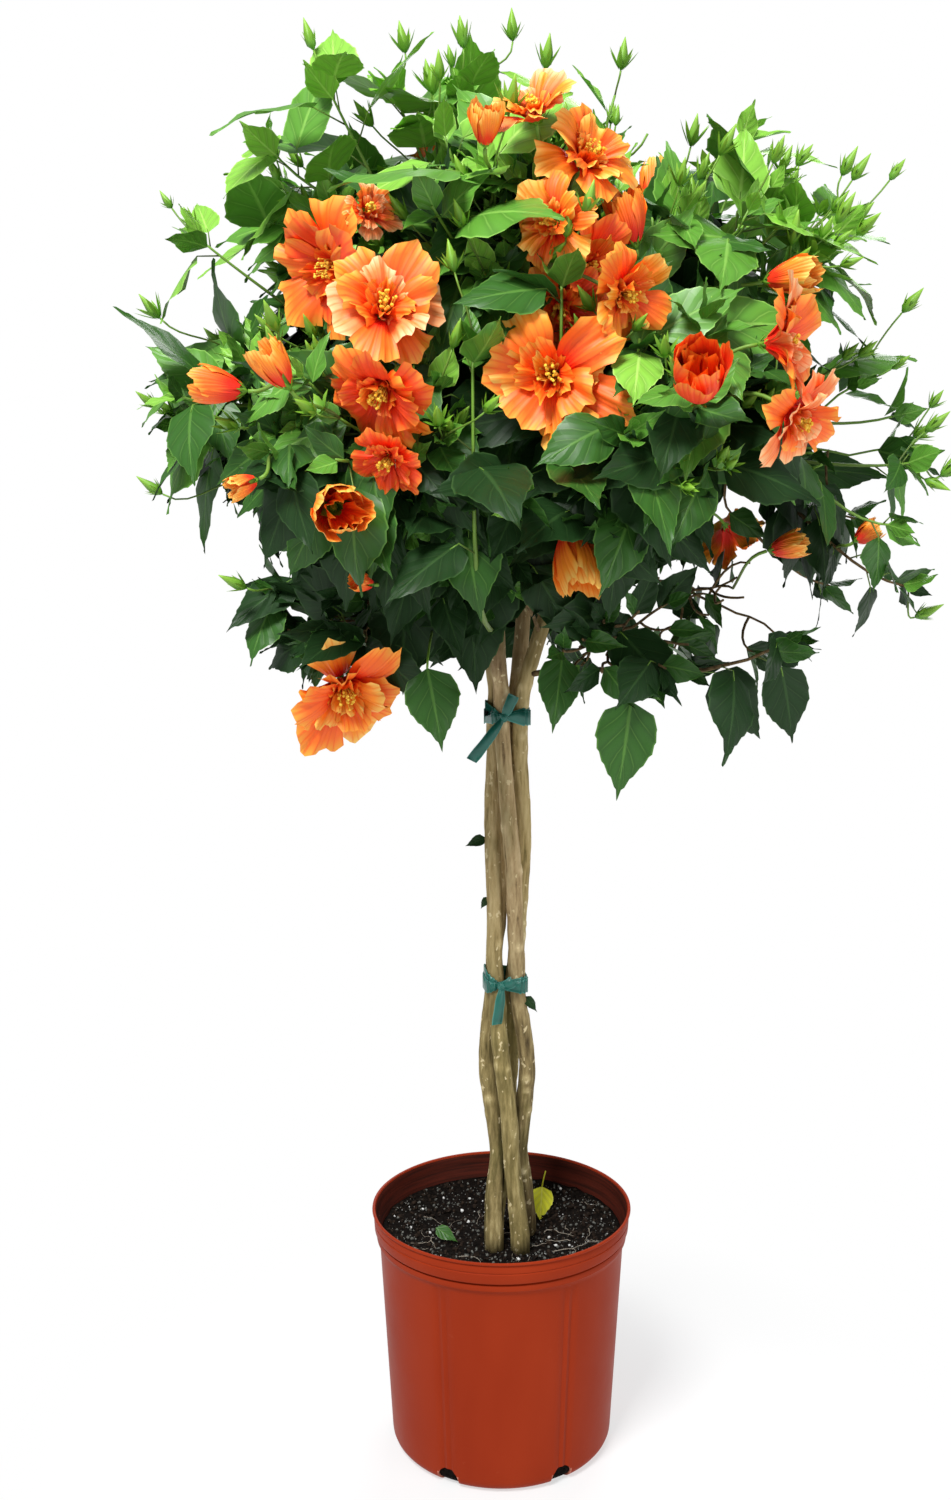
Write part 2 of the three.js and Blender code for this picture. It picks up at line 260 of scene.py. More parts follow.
def grid_triangles(rows, columns, ring=False):
    """Triangles of a grid of points, closed round on itself if ring is set."""
    r, c = np.meshgrid(np.arange(rows - 1), np.arange(columns if ring else columns - 1), indexing="ij")
    a = (r * columns + c).ravel()
    b = (r * columns + (c + 1) % columns).ravel()
    d, e = a + columns, b + columns
    return np.concatenate([np.stack([a, b, e], 1), np.stack([a, e, d], 1)])


def circle(sides):
    """Even bearings all the way round."""
    return np.linspace(0, TURN, sides, endpoint=False)


def disc(sides):
    """Triangles that close a ring of points."""
    spin = np.arange(1, sides - 1)
    return np.stack([np.zeros_like(spin), spin, spin + 1], 1)


def tube(path, radii, sides):
    """A closed tube round a path of points, with a radius at each point."""
    path = np.asarray(path, dtype=float)
    along = unit(np.gradient(path, axis=0))
    guide = np.eye(3)[np.argmin(np.abs(along).sum(0))]
    across = square_to(np.broadcast_to(guide, path.shape), along)
    third = np.cross(along, across)
    turn = circle(sides)
    ring = across[:, None] * np.cos(turn)[None, :, None] + third[:, None] * np.sin(turn)[None, :, None]
    points = (path[:, None] + ring * np.asarray(radii)[:, None, None]).reshape(-1, 3)
    walls = grid_triangles(len(path), sides, ring=True)
    foot, head = disc(sides)[:, [0, 2, 1]], disc(sides) + (len(path) - 1) * sides
    v = np.repeat(np.linspace(0, 1, len(path)), sides)
    uv = np.stack([np.tile(turn / TURN, len(path)), v], 1)
    return points, np.concatenate([walls, foot, head]), uv


def run_along(path):
    """How far along a path each of its points lies."""
    return np.concatenate([[0], np.cumsum(np.linalg.norm(np.diff(path, axis=0), axis=1))])


def bend(start, leave, arrive, end, steps):
    """Points on a smooth curve that leaves start towards leave and comes in to end from arrive."""
    t = np.linspace(0, 1, steps)[:, None]
    return (1 - t) ** 3 * start + 3 * (1 - t) ** 2 * t * leave + 3 * (1 - t) * t ** 2 * arrive + t ** 3 * end


def polar(radius, turn):
    return radius * math.cos(turn), radius * math.sin(turn)


def node_points(node):
    return np.array([v.co[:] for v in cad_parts[node].data.vertices])


# %% [markdown]
# ## Materials
#
# Moulded plastic, bark, soil, leaves and petals each get a small node network. Leaves and petals carry
# their pattern on their own UV map, because veins follow the leaf and not the place where it hangs: u runs
# across a leaf from edge to edge, and v from its stalk to its tip. Leaves come in four greens, and petals in
# four tints.

# %% Material helpers
def calc(tree, operation, *values):
    """A Math node on sockets or plain numbers."""
    return add_node(tree, "ShaderNodeMath", enumerate(values), operation=operation).outputs[0]


def times(tree, a, b):
    return calc(tree, "MULTIPLY", a, b)


def less(tree, a, b):
    return calc(tree, "SUBTRACT", a, b)


def blend_colours(tree, share, first, second):
    feeds = {"Factor": share, "A": first, "B": second}
    return add_node(tree, "ShaderNodeMix", feeds, data_type="RGBA").outputs["Result"]


def lay_over(tree, colour, share, strength, paint):
    """A colour with a paint laid over it as far as share and strength say."""
    return blend_colours(tree, times(tree, share, strength), colour, paint)


def ramp(tree, value, stops):
    made = add_node(tree, "ShaderNodeValToRGB", {0: value})
    band = made.color_ramp
    while len(band.elements) < len(stops):
        band.elements.new(0.5)
    for element, (place, colour) in zip(band.elements, stops):
        element.position = place
        element.color = (*colour, 1)
    return made.outputs[0]


def grain(tree, scale, detail, stretch=(1, 1, 1), roughness=0.6):
    """Noise on Object coordinates, drawn out along an axis by stretch."""
    place = add_node(tree, "ShaderNodeTexCoord").outputs["Object"]
    mapped = add_node(tree, "ShaderNodeMapping", {"Vector": place, "Scale": stretch}).outputs[0]
    feeds = {"Vector": mapped, "Scale": scale, "Detail": detail, "Roughness": roughness}
    return add_node(tree, "ShaderNodeTexNoise", feeds).outputs["Fac"]


def attribute(tree, name):
    """A value kept at every point of a mesh."""
    return add_node(tree, "ShaderNodeAttribute", attribute_name=name).outputs["Fac"]


def own_map(tree):
    """The u and v of a piece's own map."""
    place = add_node(tree, "ShaderNodeUVMap", uv_map="OFBake").outputs[0]
    return add_node(tree, "ShaderNodeSeparateXYZ", {0: place}).outputs[:2]


def coat(material, colour, height, strength, distance):
    """Gives a material its colour, and a bump made from a height."""
    tree = material.node_tree
    feeds = {"Height": height, "Strength": strength, "Distance": distance}
    inputs = tree.nodes["Principled BSDF"].inputs
    tree.links.new(colour, inputs["Base Color"])
    tree.links.new(add_node(tree, "ShaderNodeBump", feeds).outputs[0], inputs["Normal"])
    return material


# %% Plastic, soil and bark
def pot_plastic():
    material, tree, inputs = new_material("pot_plastic", 0.5, 0.05)
    cloud = grain(tree, 9, 3, (1, 1, 0.35))
    colour = ramp(tree, cloud, [(0.3, (0.262, 0.024, 0.0055)), (0.7, (0.318, 0.033, 0.008))])
    specks = fade(tree, grain(tree, 60, 6), 0.66, 0.78)
    colour = lay_over(tree, colour, specks, 0.2, (0.5, 0.13, 0.07))
    feed(tree, inputs["Roughness"], calc(tree, "MULTIPLY_ADD", grain(tree, 30, 4), 0.2, 0.32))
    return coat(material, colour, grain(tree, 220, 3), 0.12, 0.0006)


def pot_lining():
    """The inside of the wall: the same plastic, coloured much darker than outside, with the mould's fine
    rings.
    """
    material, tree, _ = new_material("pot_lining", 0.6, 0.05)
    rings = grain(tree, 14, 3, (1, 1, 26))
    colour = ramp(tree, rings, [(0.35, (0.034, 0.009, 0.006)), (0.6, (0.078, 0.014, 0.008))])
    return coat(material, colour, rings, 0.5, 0.0012)


def soil_mix():
    material, tree, _ = new_material("soil_mix", 0.95, 0.04)
    colour = ramp(tree, grain(tree, 260, 8), [(0.3, (0.002, 0.0016, 0.0014)), (0.6, (0.010, 0.0075, 0.006)),
                                              (0.8, (0.035, 0.026, 0.02))])
    return coat(material, colour, grain(tree, 420, 8), 0.8, 0.003)


def bark():
    """Brown below, paler above, then painted shade under the head, a cast from stem to stem, moss, pale flecks
    and leaf scars.
    """
    material, tree, _ = new_material("bark", 0.82, 0.2)
    relief_and_shade, height, tint = (attribute(tree, name) for name in ("relief_and_shade", "height", "tint"))
    rough = grain(tree, 260, 6, (1, 1, 0.16), 0.7)
    tone = calc(tree, "MULTIPLY_ADD", less(tree, rough, 0.5), 1.3, relief_and_shade)
    lower = ramp(tree, tone, [(0.05, (0.035, 0.022, 0.010)), (0.36, (0.150, 0.108, 0.046)),
                              (0.62, (0.275, 0.205, 0.090)), (0.95, (0.50, 0.40, 0.20))])
    upper = ramp(tree, tone, [(0.05, (0.085, 0.050, 0.024)), (0.40, (0.45, 0.315, 0.155)),
                              (0.92, (0.72, 0.56, 0.32))])
    colour = blend_colours(tree, fade(tree, height, 0.42, 0.60), lower, upper)
    moss, flecks = grain(tree, 26, 4, (1, 1, 0.3)), grain(tree, 150, 2, (1, 1, 0.7))
    # The first paint is painted shade: it darkens the top of the trunk under the head.
    for share, strength, paint in ((fade(tree, height, 0.765, 0.80), 0.6, (0.12, 0.070, 0.038)),
                                   (tint, 0.3, (0.42, 0.37, 0.10)),
                                   (fade(tree, moss, 0.5, 0.72), 0.45, (0.13, 0.125, 0.028)),
                                   (fade(tree, flecks, 0.64, 0.68), 0.8, (0.74, 0.62, 0.36)),
                                   (fade(tree, relief_and_shade, 0.93, 1.0), 0.8, (0.78, 0.66, 0.38))):
        colour = lay_over(tree, colour, share, strength, paint)
    return coat(material, colour, rough, 0.9, 0.0022)


def tie_plastic():
    """Green tape, paler along its edges."""
    material, tree, _ = new_material("tie_plastic", 0.36)
    across, _ = own_map(tree)
    edge = fade(tree, calc(tree, "ABSOLUTE", less(tree, across, 0.5)), 0.38, 0.5)
    colour = blend_colours(tree, grain(tree, 70, 3), (0.006, 0.085, 0.062), (0.012, 0.16, 0.12))
    colour = lay_over(tree, colour, edge, 0.6, (0.1, 0.36, 0.3))
    return coat(material, colour, grain(tree, 180, 3), 0.3, 0.0008)


def plain_grain(name, dark, light, scale, roughness):
    """A finish that is only a grain between two colours, for chips, roots and twigs."""
    material, tree, _ = new_material(name, roughness, 0.08)
    colour = ramp(tree, grain(tree, scale, 4), [(0.35, dark), (0.65, light)])
    return coat(material, colour, grain(tree, scale * 2, 4), 0.4, 0.0006)


# %% Leaves and petals
def leaf_finish(name, blade, vein, roughness, shine):
    """A blade with a midrib, side veins that sweep towards the tip, painted shade in the grooves beside them,
    and a paler rim.
    """
    material, tree, _ = new_material(name, roughness, shine)
    across, along = own_map(tree)
    off = times(tree, calc(tree, "ABSOLUTE", less(tree, across, 0.5)), 2.0)
    midrib = less(tree, 1.0, fade(tree, off, 0.02, 0.09))
    sweep = less(tree, along, times(tree, calc(tree, "POWER", off, 0.8), 0.36))
    wave = calc(tree, "PINGPONG", calc(tree, "ADD", sweep, 1.0), 0.1)
    side = times(tree, less(tree, 1.0, fade(tree, wave, 0.002, 0.014)),
                 less(tree, 1.0, fade(tree, off, 0.5, 1.0)))
    veins = calc(tree, "MAXIMUM", midrib, times(tree, side, 0.6))
    # Painted shade: the blade is darker in the grooves beside the side veins.
    shade = tuple(c * 0.8 for c in blade)
    colour = blend_colours(tree, fade(tree, wave, 0.0, 0.07), shade, blade)
    colour = lay_over(tree, colour, veins, 0.5, vein)
    colour = lay_over(tree, colour, fade(tree, off, 0.92, 0.99), 0.6, vein)
    return coat(material, colour, calc(tree, "MAXIMUM", times(tree, wave, 9.0), midrib), 0.25, 0.0014)


def petal_finish(name, throat, body, edge):
    """Dark in the throat and light at the edge, with fine lines that run out along the petal."""
    material, tree, _ = new_material(name, 0.55)
    across, along = own_map(tree)
    streaks = calc(tree, "PINGPONG", times(tree, across, 8.0), 0.5)
    lines = less(tree, 1.0, fade(tree, streaks, 0.02, 0.22))
    lift = less(tree, along, times(tree, lines, 0.10))
    middle = tuple((t + 2 * b) / 3 for t, b in zip(throat, body))
    colour = ramp(tree, lift, [(0.24, throat), (0.52, middle), (0.78, body), (0.99, edge)])
    colour = lay_over(tree, colour, lines, 0.16, tuple(c * 0.72 for c in middle))
    return coat(material, colour, streaks, 0.35, 0.0018)


def stem_green(name, base, tip):
    material, tree, inputs = new_material(name, 0.5)
    _, along = own_map(tree)
    feed(tree, inputs["Base Color"], blend_colours(tree, along, base, tip))
    return material


FINISH = {"pot_plastic": pot_plastic(), "pot_lining": pot_lining(), "soil_mix": soil_mix(), "bark": bark(),
          "tie_plastic": tie_plastic()}
# Darker greens go to leaves deep in the head and lighter ones to sunny shoots, so besides the leaves' age
# these blades carry painted shade and painted light.
# Name, blade, veins, roughness and shine.
LEAF_LOOKS = [
    ("leaf_deep", (0.013, 0.042, 0.010), (0.045, 0.11, 0.028), 0.45, 0.2),
    ("leaf_full", (0.032, 0.112, 0.015), (0.13, 0.30, 0.05), 0.4, 0.3),
    ("leaf_fresh", (0.098, 0.28, 0.030), (0.30, 0.58, 0.11), 0.4, 0.4),
    ("leaf_young", (0.22, 0.50, 0.055), (0.54, 0.82, 0.20), 0.4, 0.35),
    ("leaf_fallen", (0.72, 0.72, 0.035), (0.85, 0.85, 0.2), 0.5, 0.16)]
# Name, throat, body and edge.
PETAL_LOOKS = [
    ("petal_orange", (0.90, 0.018, 0.004), (1.0, 0.165, 0.006), (1.0, 0.38, 0.035)),
    ("petal_red", (0.82, 0.010, 0.004), (0.96, 0.075, 0.006), (1.0, 0.24, 0.02)),
    ("petal_gold", (0.92, 0.03, 0.004), (1.0, 0.29, 0.012), (1.0, 0.58, 0.11)),
    ("petal_peach", (0.90, 0.03, 0.008), (1.0, 0.26, 0.06), (1.0, 0.56, 0.26))]
# Name, foot and tip.
GREEN_LOOKS = [("bud_green", (0.07, 0.24, 0.012), (0.26, 0.50, 0.04)),
               ("shoot_green", (0.10, 0.13, 0.03), (0.16, 0.34, 0.03))]
# Name, dark and light, scale of the grain and roughness.
GRAIN_LOOKS = [
    ("pot_cut_edge", (0.40, 0.10, 0.06), (0.60, 0.24, 0.17), 300, 0.7),
    ("twig_brown", (0.07, 0.045, 0.022), (0.22, 0.15, 0.07), 160, 0.8),
    ("anther_yellow", (0.85, 0.42, 0.02), (1.0, 0.78, 0.12), 500, 0.7),
    ("perlite_white", (0.5, 0.5, 0.48), (0.86, 0.86, 0.84), 700, 0.85),
    ("perlite_damp", (0.04, 0.04, 0.035), (0.20, 0.20, 0.18), 500, 0.9),
    ("bark_chip", (0.005, 0.0035, 0.0028), (0.035, 0.023, 0.016), 240, 0.95),
    ("dry_root", (0.16, 0.13, 0.10), (0.42, 0.37, 0.30), 300, 0.9)]
for make, looks in ((leaf_finish, LEAF_LOOKS), (petal_finish, PETAL_LOOKS), (stem_green, GREEN_LOOKS),
                    (plain_grain, GRAIN_LOOKS)):
    FINISH.update({look[0]: make(*look) for look in looks})
print(len(FINISH), "finishes")

# %% [markdown]
# ## The nursery pot
#
# A thin moulded tub: a lip, a plain band under it, a fine groove and bead, a body that narrows a little, and
# a round bottom corner with drain holes through it. Its outline is spun about the middle, as the mould is,
# and the holes are cut by a Boolean modifier, because they run through a round corner where an inset would
# not lie flat. Over each hole the wall has two fine upright grooves.

# %% Pot
POT_LOW, POT_HIGH = (np.array(corner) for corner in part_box("pot"))
RIM_RADIUS = (POT_HIGH[0] - POT_LOW[0]) / 2
RIM_HEIGHT = POT_HIGH[2]
NECK_RADIUS = RIM_RADIUS - 0.0075
BASE_RADIUS = RIM_RADIUS - 0.0185
BASE_DISH = 0.0016
CORNER = 0.012
WALL = 0.0018
BAND = 0.0225
SPIN_STEPS = 180
FIRST_HOLE = 32 - 90
HOLE_BEARINGS = [FIRST_HOLE + 60 * k for k in range(6)]
HOLE_RADIUS = 0.0112
HOLE_HEIGHT = 0.0068
CUTTER_LENGTH = 0.026
CUT_FIT = 0.0003
# The grooves over a hole: where each begins and ends, in degrees away from the hole, and how deep it is.
GROOVES = (1.0, 3.2)
GROOVE_DEPTH = 0.0015
# The bead and the band, as steps out from the neck and up from the groove.
NECK_STEPS = [(0.0008, -0.010), (0.0030, -0.0075), (0.0034, -0.0050), (0.0030, -0.0022), (0.0012, -0.0012),
              (0.0012, -0.0002), (0.0046, 0.0006), (0.0052, 0.0022), (0.0057, 0.0100), (0.0051, 0.0110),
              (0.0058, 0.0120), (0.0060, 0.0185), (0.0056, 0.0192)]


def pot_outline():
    """Radius and height along the wall: under the base, up the outside, over the lip and down the inside."""
    groove = RIM_HEIGHT - BAND
    outline = [(0, BASE_DISH), (BASE_RADIUS * 0.72, BASE_DISH), (BASE_RADIUS * 0.76, 0)]
    for k in range(7):
        turn = math.radians(-90 + 15 * k)
        outline.append((BASE_RADIUS - CORNER + CORNER * math.cos(turn), CORNER * (1 + math.sin(turn))))
    flare, rise = NECK_RADIUS - BASE_RADIUS, groove - 0.014 - CORNER
    outline += [(BASE_RADIUS + flare * k / 8, CORNER + rise * k / 8) for k in range(1, 9)]
    outline += [(NECK_RADIUS + out, groove + up) for out, up in NECK_STEPS]
    outline += [(RIM_RADIUS - 0.0004, groove + 0.0200), (RIM_RADIUS, groove + 0.0208),
                (RIM_RADIUS - 0.0002, RIM_HEIGHT - 0.0005), (RIM_RADIUS - 0.0010, RIM_HEIGHT),
                (RIM_RADIUS - 0.0026, RIM_HEIGHT - 0.0004), (RIM_RADIUS - 0.0034, RIM_HEIGHT - 0.0018)]
    outline += [(RIM_RADIUS - 0.0050, RIM_HEIGHT - 0.0080), (RIM_RADIUS - 0.0058, groove + 0.0040),
                (NECK_RADIUS - WALL + 0.0008, groove), (NECK_RADIUS - WALL, groove - 0.0120),
                (BASE_RADIUS - WALL, CORNER + 0.001), (BASE_RADIUS - CORNER, WALL + BASE_DISH),
                (0, WALL + BASE_DISH)]
    return outline


def pick(made):
    """Makes one object the only one selected."""
    bpy.ops.object.select_all(action="DESELECT")
    bpy.context.view_layer.objects.active = made
    made.select_set(True)


def build_pot():
    outline = pot_outline()
    mesh = bpy.data.meshes.new("nursery_pot")
    mesh.from_pydata([(r, 0, z) for r, z in outline], [(k, k + 1) for k in range(len(outline) - 1)], [])
    pot = bpy.data.objects.new("nursery_pot", mesh)
    bpy.context.scene.collection.objects.link(pot)
    pick(pot)
    bpy.ops.object.mode_set(mode="EDIT")
    bpy.ops.mesh.select_all(action="SELECT")
    bpy.ops.mesh.spin(steps=SPIN_STEPS, angle=TURN, center=(0, 0, 0), axis=(0, 0, 1))
    bpy.ops.mesh.select_all(action="SELECT")
    bpy.ops.mesh.remove_doubles(threshold=0.00002)
    bpy.ops.mesh.normals_make_consistent(inside=False)
    bpy.ops.object.mode_set(mode="OBJECT")
    return pot


# %% Grooves and drain holes
def press_grooves(pot):
    """Presses two fine upright grooves into the wall over each drain hole."""
    for vertex in pot.data.vertices:
        x, y, z = vertex.co
        radius = math.hypot(x, y)
        if not (CORNER < z < RIM_HEIGHT - BAND - 0.012 and radius > BASE_RADIUS - 0.0008):
            continue
        bearing = math.degrees(math.atan2(y, x))
        nearest = min(abs((bearing - hole + 180) % 360 - 180) for hole in HOLE_BEARINGS)
        if GROOVES[0] < nearest < GROOVES[1]:
            scale = (radius - GROOVE_DEPTH) / radius
            vertex.co.x, vertex.co.y = x * scale, y * scale


def cut_drain_holes(pot):
    for k, bearing in enumerate(HOLE_BEARINGS):
        turn = math.radians(bearing)
        bpy.ops.object.select_all(action="DESELECT")
        place = (*polar(BASE_RADIUS, turn), HOLE_HEIGHT)
        bpy.ops.mesh.primitive_cylinder_add(vertices=32, radius=HOLE_RADIUS, depth=CUTTER_LENGTH,
                                            location=place, rotation=(math.pi / 2, 0, turn + math.pi / 2))
        cutter = bpy.context.object
        bpy.context.view_layer.objects.active = pot
        hole = pot.modifiers.new(f"drain_{k}", "BOOLEAN")
        hole.operation = "DIFFERENCE"
        hole.solver = "EXACT"
        hole.object = cutter
        bpy.ops.object.modifier_apply(modifier=hole.name)
        bpy.data.objects.remove(cutter)


def on_hole_edge(place):
    """True on the narrow cut face round a drain hole."""
    for bearing in HOLE_BEARINGS:
        turn = math.radians(bearing)
        ahead = place.x * math.cos(turn) + place.y * math.sin(turn)
        aside = place.y * math.cos(turn) - place.x * math.sin(turn)
        away = math.hypot(aside, place.z - HOLE_HEIGHT)
        if ahead > BASE_RADIUS - 0.014 and abs(away - HOLE_RADIUS) < CUT_FIT:
            return True
    return False


pot = build_pot()
press_grooves(pot)
cut_drain_holes(pot)
pick(pot)
bpy.ops.object.shade_smooth_by_angle(angle=math.radians(32))
pot.data.materials.clear()
for name in ("pot_plastic", "pot_lining", "pot_cut_edge"):
    pot.data.materials.append(FINISH[name])
LINING, CUT_EDGE = 1, 2
for face in pot.data.polygons:
    outward = Vector((face.center.x, face.center.y, 0)).normalized()
    if face.normal.dot(outward) < -0.3 and face.center.z < RIM_HEIGHT - 0.003:
        face.material_index = LINING
    if on_hole_edge(face.center):
        face.material_index = CUT_EDGE
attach(pot, "root")
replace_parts(pot, "pot")
print("pot:", len(pot.data.polygons), "faces")

# %% [markdown]
# ## Potting mix
#
# The mix is black peat and bark with damp and dry perlite and fine dead roots. Its surface is a round sheet
# of rings pushed up and down by noise, which climbs to the wall. A texture alone would look flat from this
# near, so chips and perlite grains are small uneven lumps stamped on it. The lower part is a plain plug that
# shows only through the drain holes.

# %% Soil
# The mix is level out to a radius, and from there climbs to the wall.
SOIL_RISE = 0.014
SOIL_FLAT = 0.062
SOIL_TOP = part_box("soil")[1][2] - SOIL_RISE
SOIL_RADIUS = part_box("soil")[1][0]
SOIL_RINGS = 46
SOIL_SIDES = 150
INNERMOST = 0.02


def soil_level(x, y):
    """Height of the soil at a place in plan."""
    climb = max(0.0, (math.hypot(x, y) - SOIL_FLAT) / (SOIL_RADIUS - SOIL_FLAT))
    rough = noise.fractal(Vector((x * 60, y * 60, 3.1)), 1.0, 2.0, 4)
    lumps = noise.noise(Vector((x * 17, y * 17, 9.0)))
    return SOIL_TOP - 0.0015 + SOIL_RISE * climb + 0.0018 * rough + 0.0020 * lumps


def soil_surface():
    """The rough top as rings from the middle out, and below it a plain plug down to the pot's base."""
    points = []
    for ring in range(SOIL_RINGS):
        radius = SOIL_RADIUS * (ring + INNERMOST) / (SOIL_RINGS - 1 + INNERMOST)
        for side in range(SOIL_SIDES):
            x, y = polar(radius, TURN * side / SOIL_SIDES)
            points.append((x, y, soil_level(x, y)))
    plug = [(SOIL_RADIUS - 0.001, SOIL_TOP - 0.01), (BASE_RADIUS - 0.0025, 0.014),
            (BASE_RADIUS - 0.0032, 0.008), (BASE_RADIUS - 0.0065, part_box("soil")[0][2] + 0.001)]
    for radius, z in plug:
        points += [(*polar(radius, t), z) for t in circle(SOIL_SIDES)]
    count = SOIL_RINGS + len(plug)
    walls = grid_triangles(count, SOIL_SIDES, ring=True)[:, ::-1]
    bottom = (disc(SOIL_SIDES) + (count - 1) * SOIL_SIDES)[:, ::-1]
    heap = Heap()
    heap.add(np.array(points), np.concatenate([walls, disc(SOIL_SIDES), bottom]))
    return heap


# %% Chips, grains and roots
def lump_template():
    """A small closed lump of twenty faces."""
    bpy.ops.object.select_all(action="DESELECT")
    bpy.ops.mesh.primitive_ico_sphere_add(subdivisions=1, radius=1)
    source = bpy.context.object
    points = np.array([v.co[:] for v in source.data.vertices])
    triangles = np.array([p.vertices[:] for p in source.data.polygons])
    bpy.data.objects.remove(source)
    return points, triangles


LUMP = lump_template()


def scatter_lumps(count, smallest, largest, flat, lift):
    """Uneven lumps all over the soil, few of them large; lift is how far each stands up, in its own size."""
    heap = Heap()
    points, triangles = LUMP
    for _ in range(count):
        x, y = polar(SOIL_RADIUS * 0.97 * math.sqrt(rng.random()), rng.uniform(0, TURN))
        size = smallest + (largest - smallest) * rng.random() ** 3
        warp = points * rng.uniform(0.7, 1.25, (len(points), 1))
        tumble = np.linalg.qr(rng.normal(size=(3, 3)))[0]
        lump = (warp * [1, rng.uniform(0.6, 1), flat]) @ tumble * size
        heap.add(lump + [x, y, soil_level(x, y) + size * lift], triangles)
    return heap


def scatter_roots(count):
    """Fine dead roots that wander over the soil."""
    heap = Heap()
    for _ in range(count):
        x, y = polar(SOIL_RADIUS * 0.86 * math.sqrt(rng.random()), rng.uniform(0, TURN))
        place = np.array([x, y, 0])
        way, length = rng.uniform(0, TURN), rng.uniform(0.012, 0.045)
        path = []
        for step in range(9):
            way += rng.normal(0, 0.35)
            place = place + np.array([math.cos(way), math.sin(way), 0]) * length / 8
            x, y = place[:2]
            if math.hypot(x, y) > SOIL_RADIUS * 0.95:
                break
            path.append((x, y, soil_level(x, y) + 0.0012 + 0.0016 * rng.random()))
        if len(path) > 3:
            thick = rng.uniform(0.0002, 0.0006)
            heap.add(*tube(path, np.linspace(thick, thick * 0.4, len(path)), 5))
    return heap


soil = soil_surface().piece("potting_mix", FINISH["soil_mix"], "soil")
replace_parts(soil, "soil")
scatter_lumps(1500, 0.0009, 0.0042, 0.6, 0.2).piece("bark_chips", FINISH["bark_chip"], "soil", smooth=False)
scatter_lumps(1400, 0.0006, 0.0021, 0.9, 0.3).piece("damp_grains", FINISH["perlite_damp"], "soil")
scatter_lumps(110, 0.0006, 0.0024, 0.9, 0.5).piece("perlite_grains", FINISH["perlite_white"], "soil")
scatter_roots(34).piece("dry_roots", FINISH["dry_root"], "soil")

# %% [markdown]
# ## Stems and boughs
#
# The frame holds the route and the taper of each limb, so its middle line is read off the frame's own solid
# by slicing it across. A fine tube is then wound round that line and its skin pushed in and out: long
# fissures, fine grain, swellings, and the round scars where leaves fell. The push is also kept as an
# attribute, so that the fissures are dark and the ridges pale in the finish.

# %% Middle lines
def slice_limb(node, axis, count):
    """Middles and radii of a limb where it is cut across at even places along an axis."""
    points = node_points(node)
    edges = np.array([e.vertices[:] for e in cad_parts[node].data.edges])
    level = points @ axis
    low, high = level.min(), level.max()
    middles, radii = [], []
    for cut in np.linspace(low + (high - low) * 0.012, high - (high - low) * 0.03, count):
        a, b = edges[:, 0], edges[:, 1]
        over = (level[a] - cut) * (level[b] - cut) < 0
        a, b = a[over], b[over]
        share = ((cut - level[a]) / (level[b] - level[a]))[:, None]
        hits = points[a] + (points[b] - points[a]) * share
        middle = (hits.min(0) + hits.max(0)) / 2
        middles.append(middle)
        radii.append(np.percentile(np.linalg.norm(hits - middle, axis=1), 15))
    return np.array(middles), np.array(radii)


def resample(path, radii, step):
    """The same line with evenly spaced points, eased between the old ones."""
    length = run_along(path)
    even = np.linspace(0, length[-1], max(4, int(length[-1] / step)))
    smooth = np.stack([np.interp(even, length, path[:, k]) for k in range(3)], 1)
    kernel = np.array([1, 2, 3, 2, 1]) / 9.0
    for k in range(3):
        padded = np.pad(smooth[:, k], 2, mode="reflect", reflect_type="odd")
        smooth[:, k] = np.convolve(padded, kernel, mode="valid")
    return smooth, np.interp(even, length, radii)


def mass_middle(node):
    return node_points(node).mean(0)


def row_at(line, height):
    """Which point of a middle line is nearest to a height."""
    return np.argmin(np.abs(line[:, 2] - height))


stem_lines = {stem: slice_limb(stem, UP, 60) for stem in STEMS}
# Height against how wide the whole braid is from left to right: it pinches in above the feet, spreads
# out below the lower tie, and is drawn in again at each tie.
BRAID_WIDTHS = [(0.207, 0.054), (0.257, 0.048), (0.300, 0.036), (0.345, 0.047), (0.390, 0.057),
                (0.427, 0.051), (0.460, 0.040), (0.525, 0.037), (0.567, 0.041), (0.602, 0.045),
                (0.650, 0.045), (0.700, 0.039), (0.757, 0.040)]
BRAID_FOOT, BRAID_TOP = BRAID_WIDTHS[0][0], BRAID_WIDTHS[-1][0]


def fit_braid():
    """Moves the stems' middle lines sideways until the braid is as wide as it should be at each height."""
    heights = np.linspace(BRAID_FOOT, BRAID_TOP, 56)
    thick = {stem: np.interp(heights, line[:, 2], radii) for stem, (line, radii) in stem_lines.items()}
    across = {stem: np.interp(heights, line[:, 2], line[:, 0]) for stem, (line, _) in stem_lines.items()}
    left = np.min([across[stem] - thick[stem] for stem in STEMS], axis=0)
    right = np.max([across[stem] + thick[stem] for stem in STEMS], axis=0)
    bark_width = 2 * np.mean([thick[stem] for stem in STEMS], axis=0)
    wanted = np.interp(heights, *zip(*BRAID_WIDTHS))
    scale = (wanted - bark_width) / np.maximum(right - left - bark_width, 0.004)
    middle = (left + right) / 2
    for line, _ in stem_lines.values():
        low = line[:, 2] < BRAID_TOP
        z = line[low, 2]
        axis = np.interp(z, heights, middle)
        line[low, 0] = axis + (line[low, 0] - axis) * np.interp(z, heights, scale)


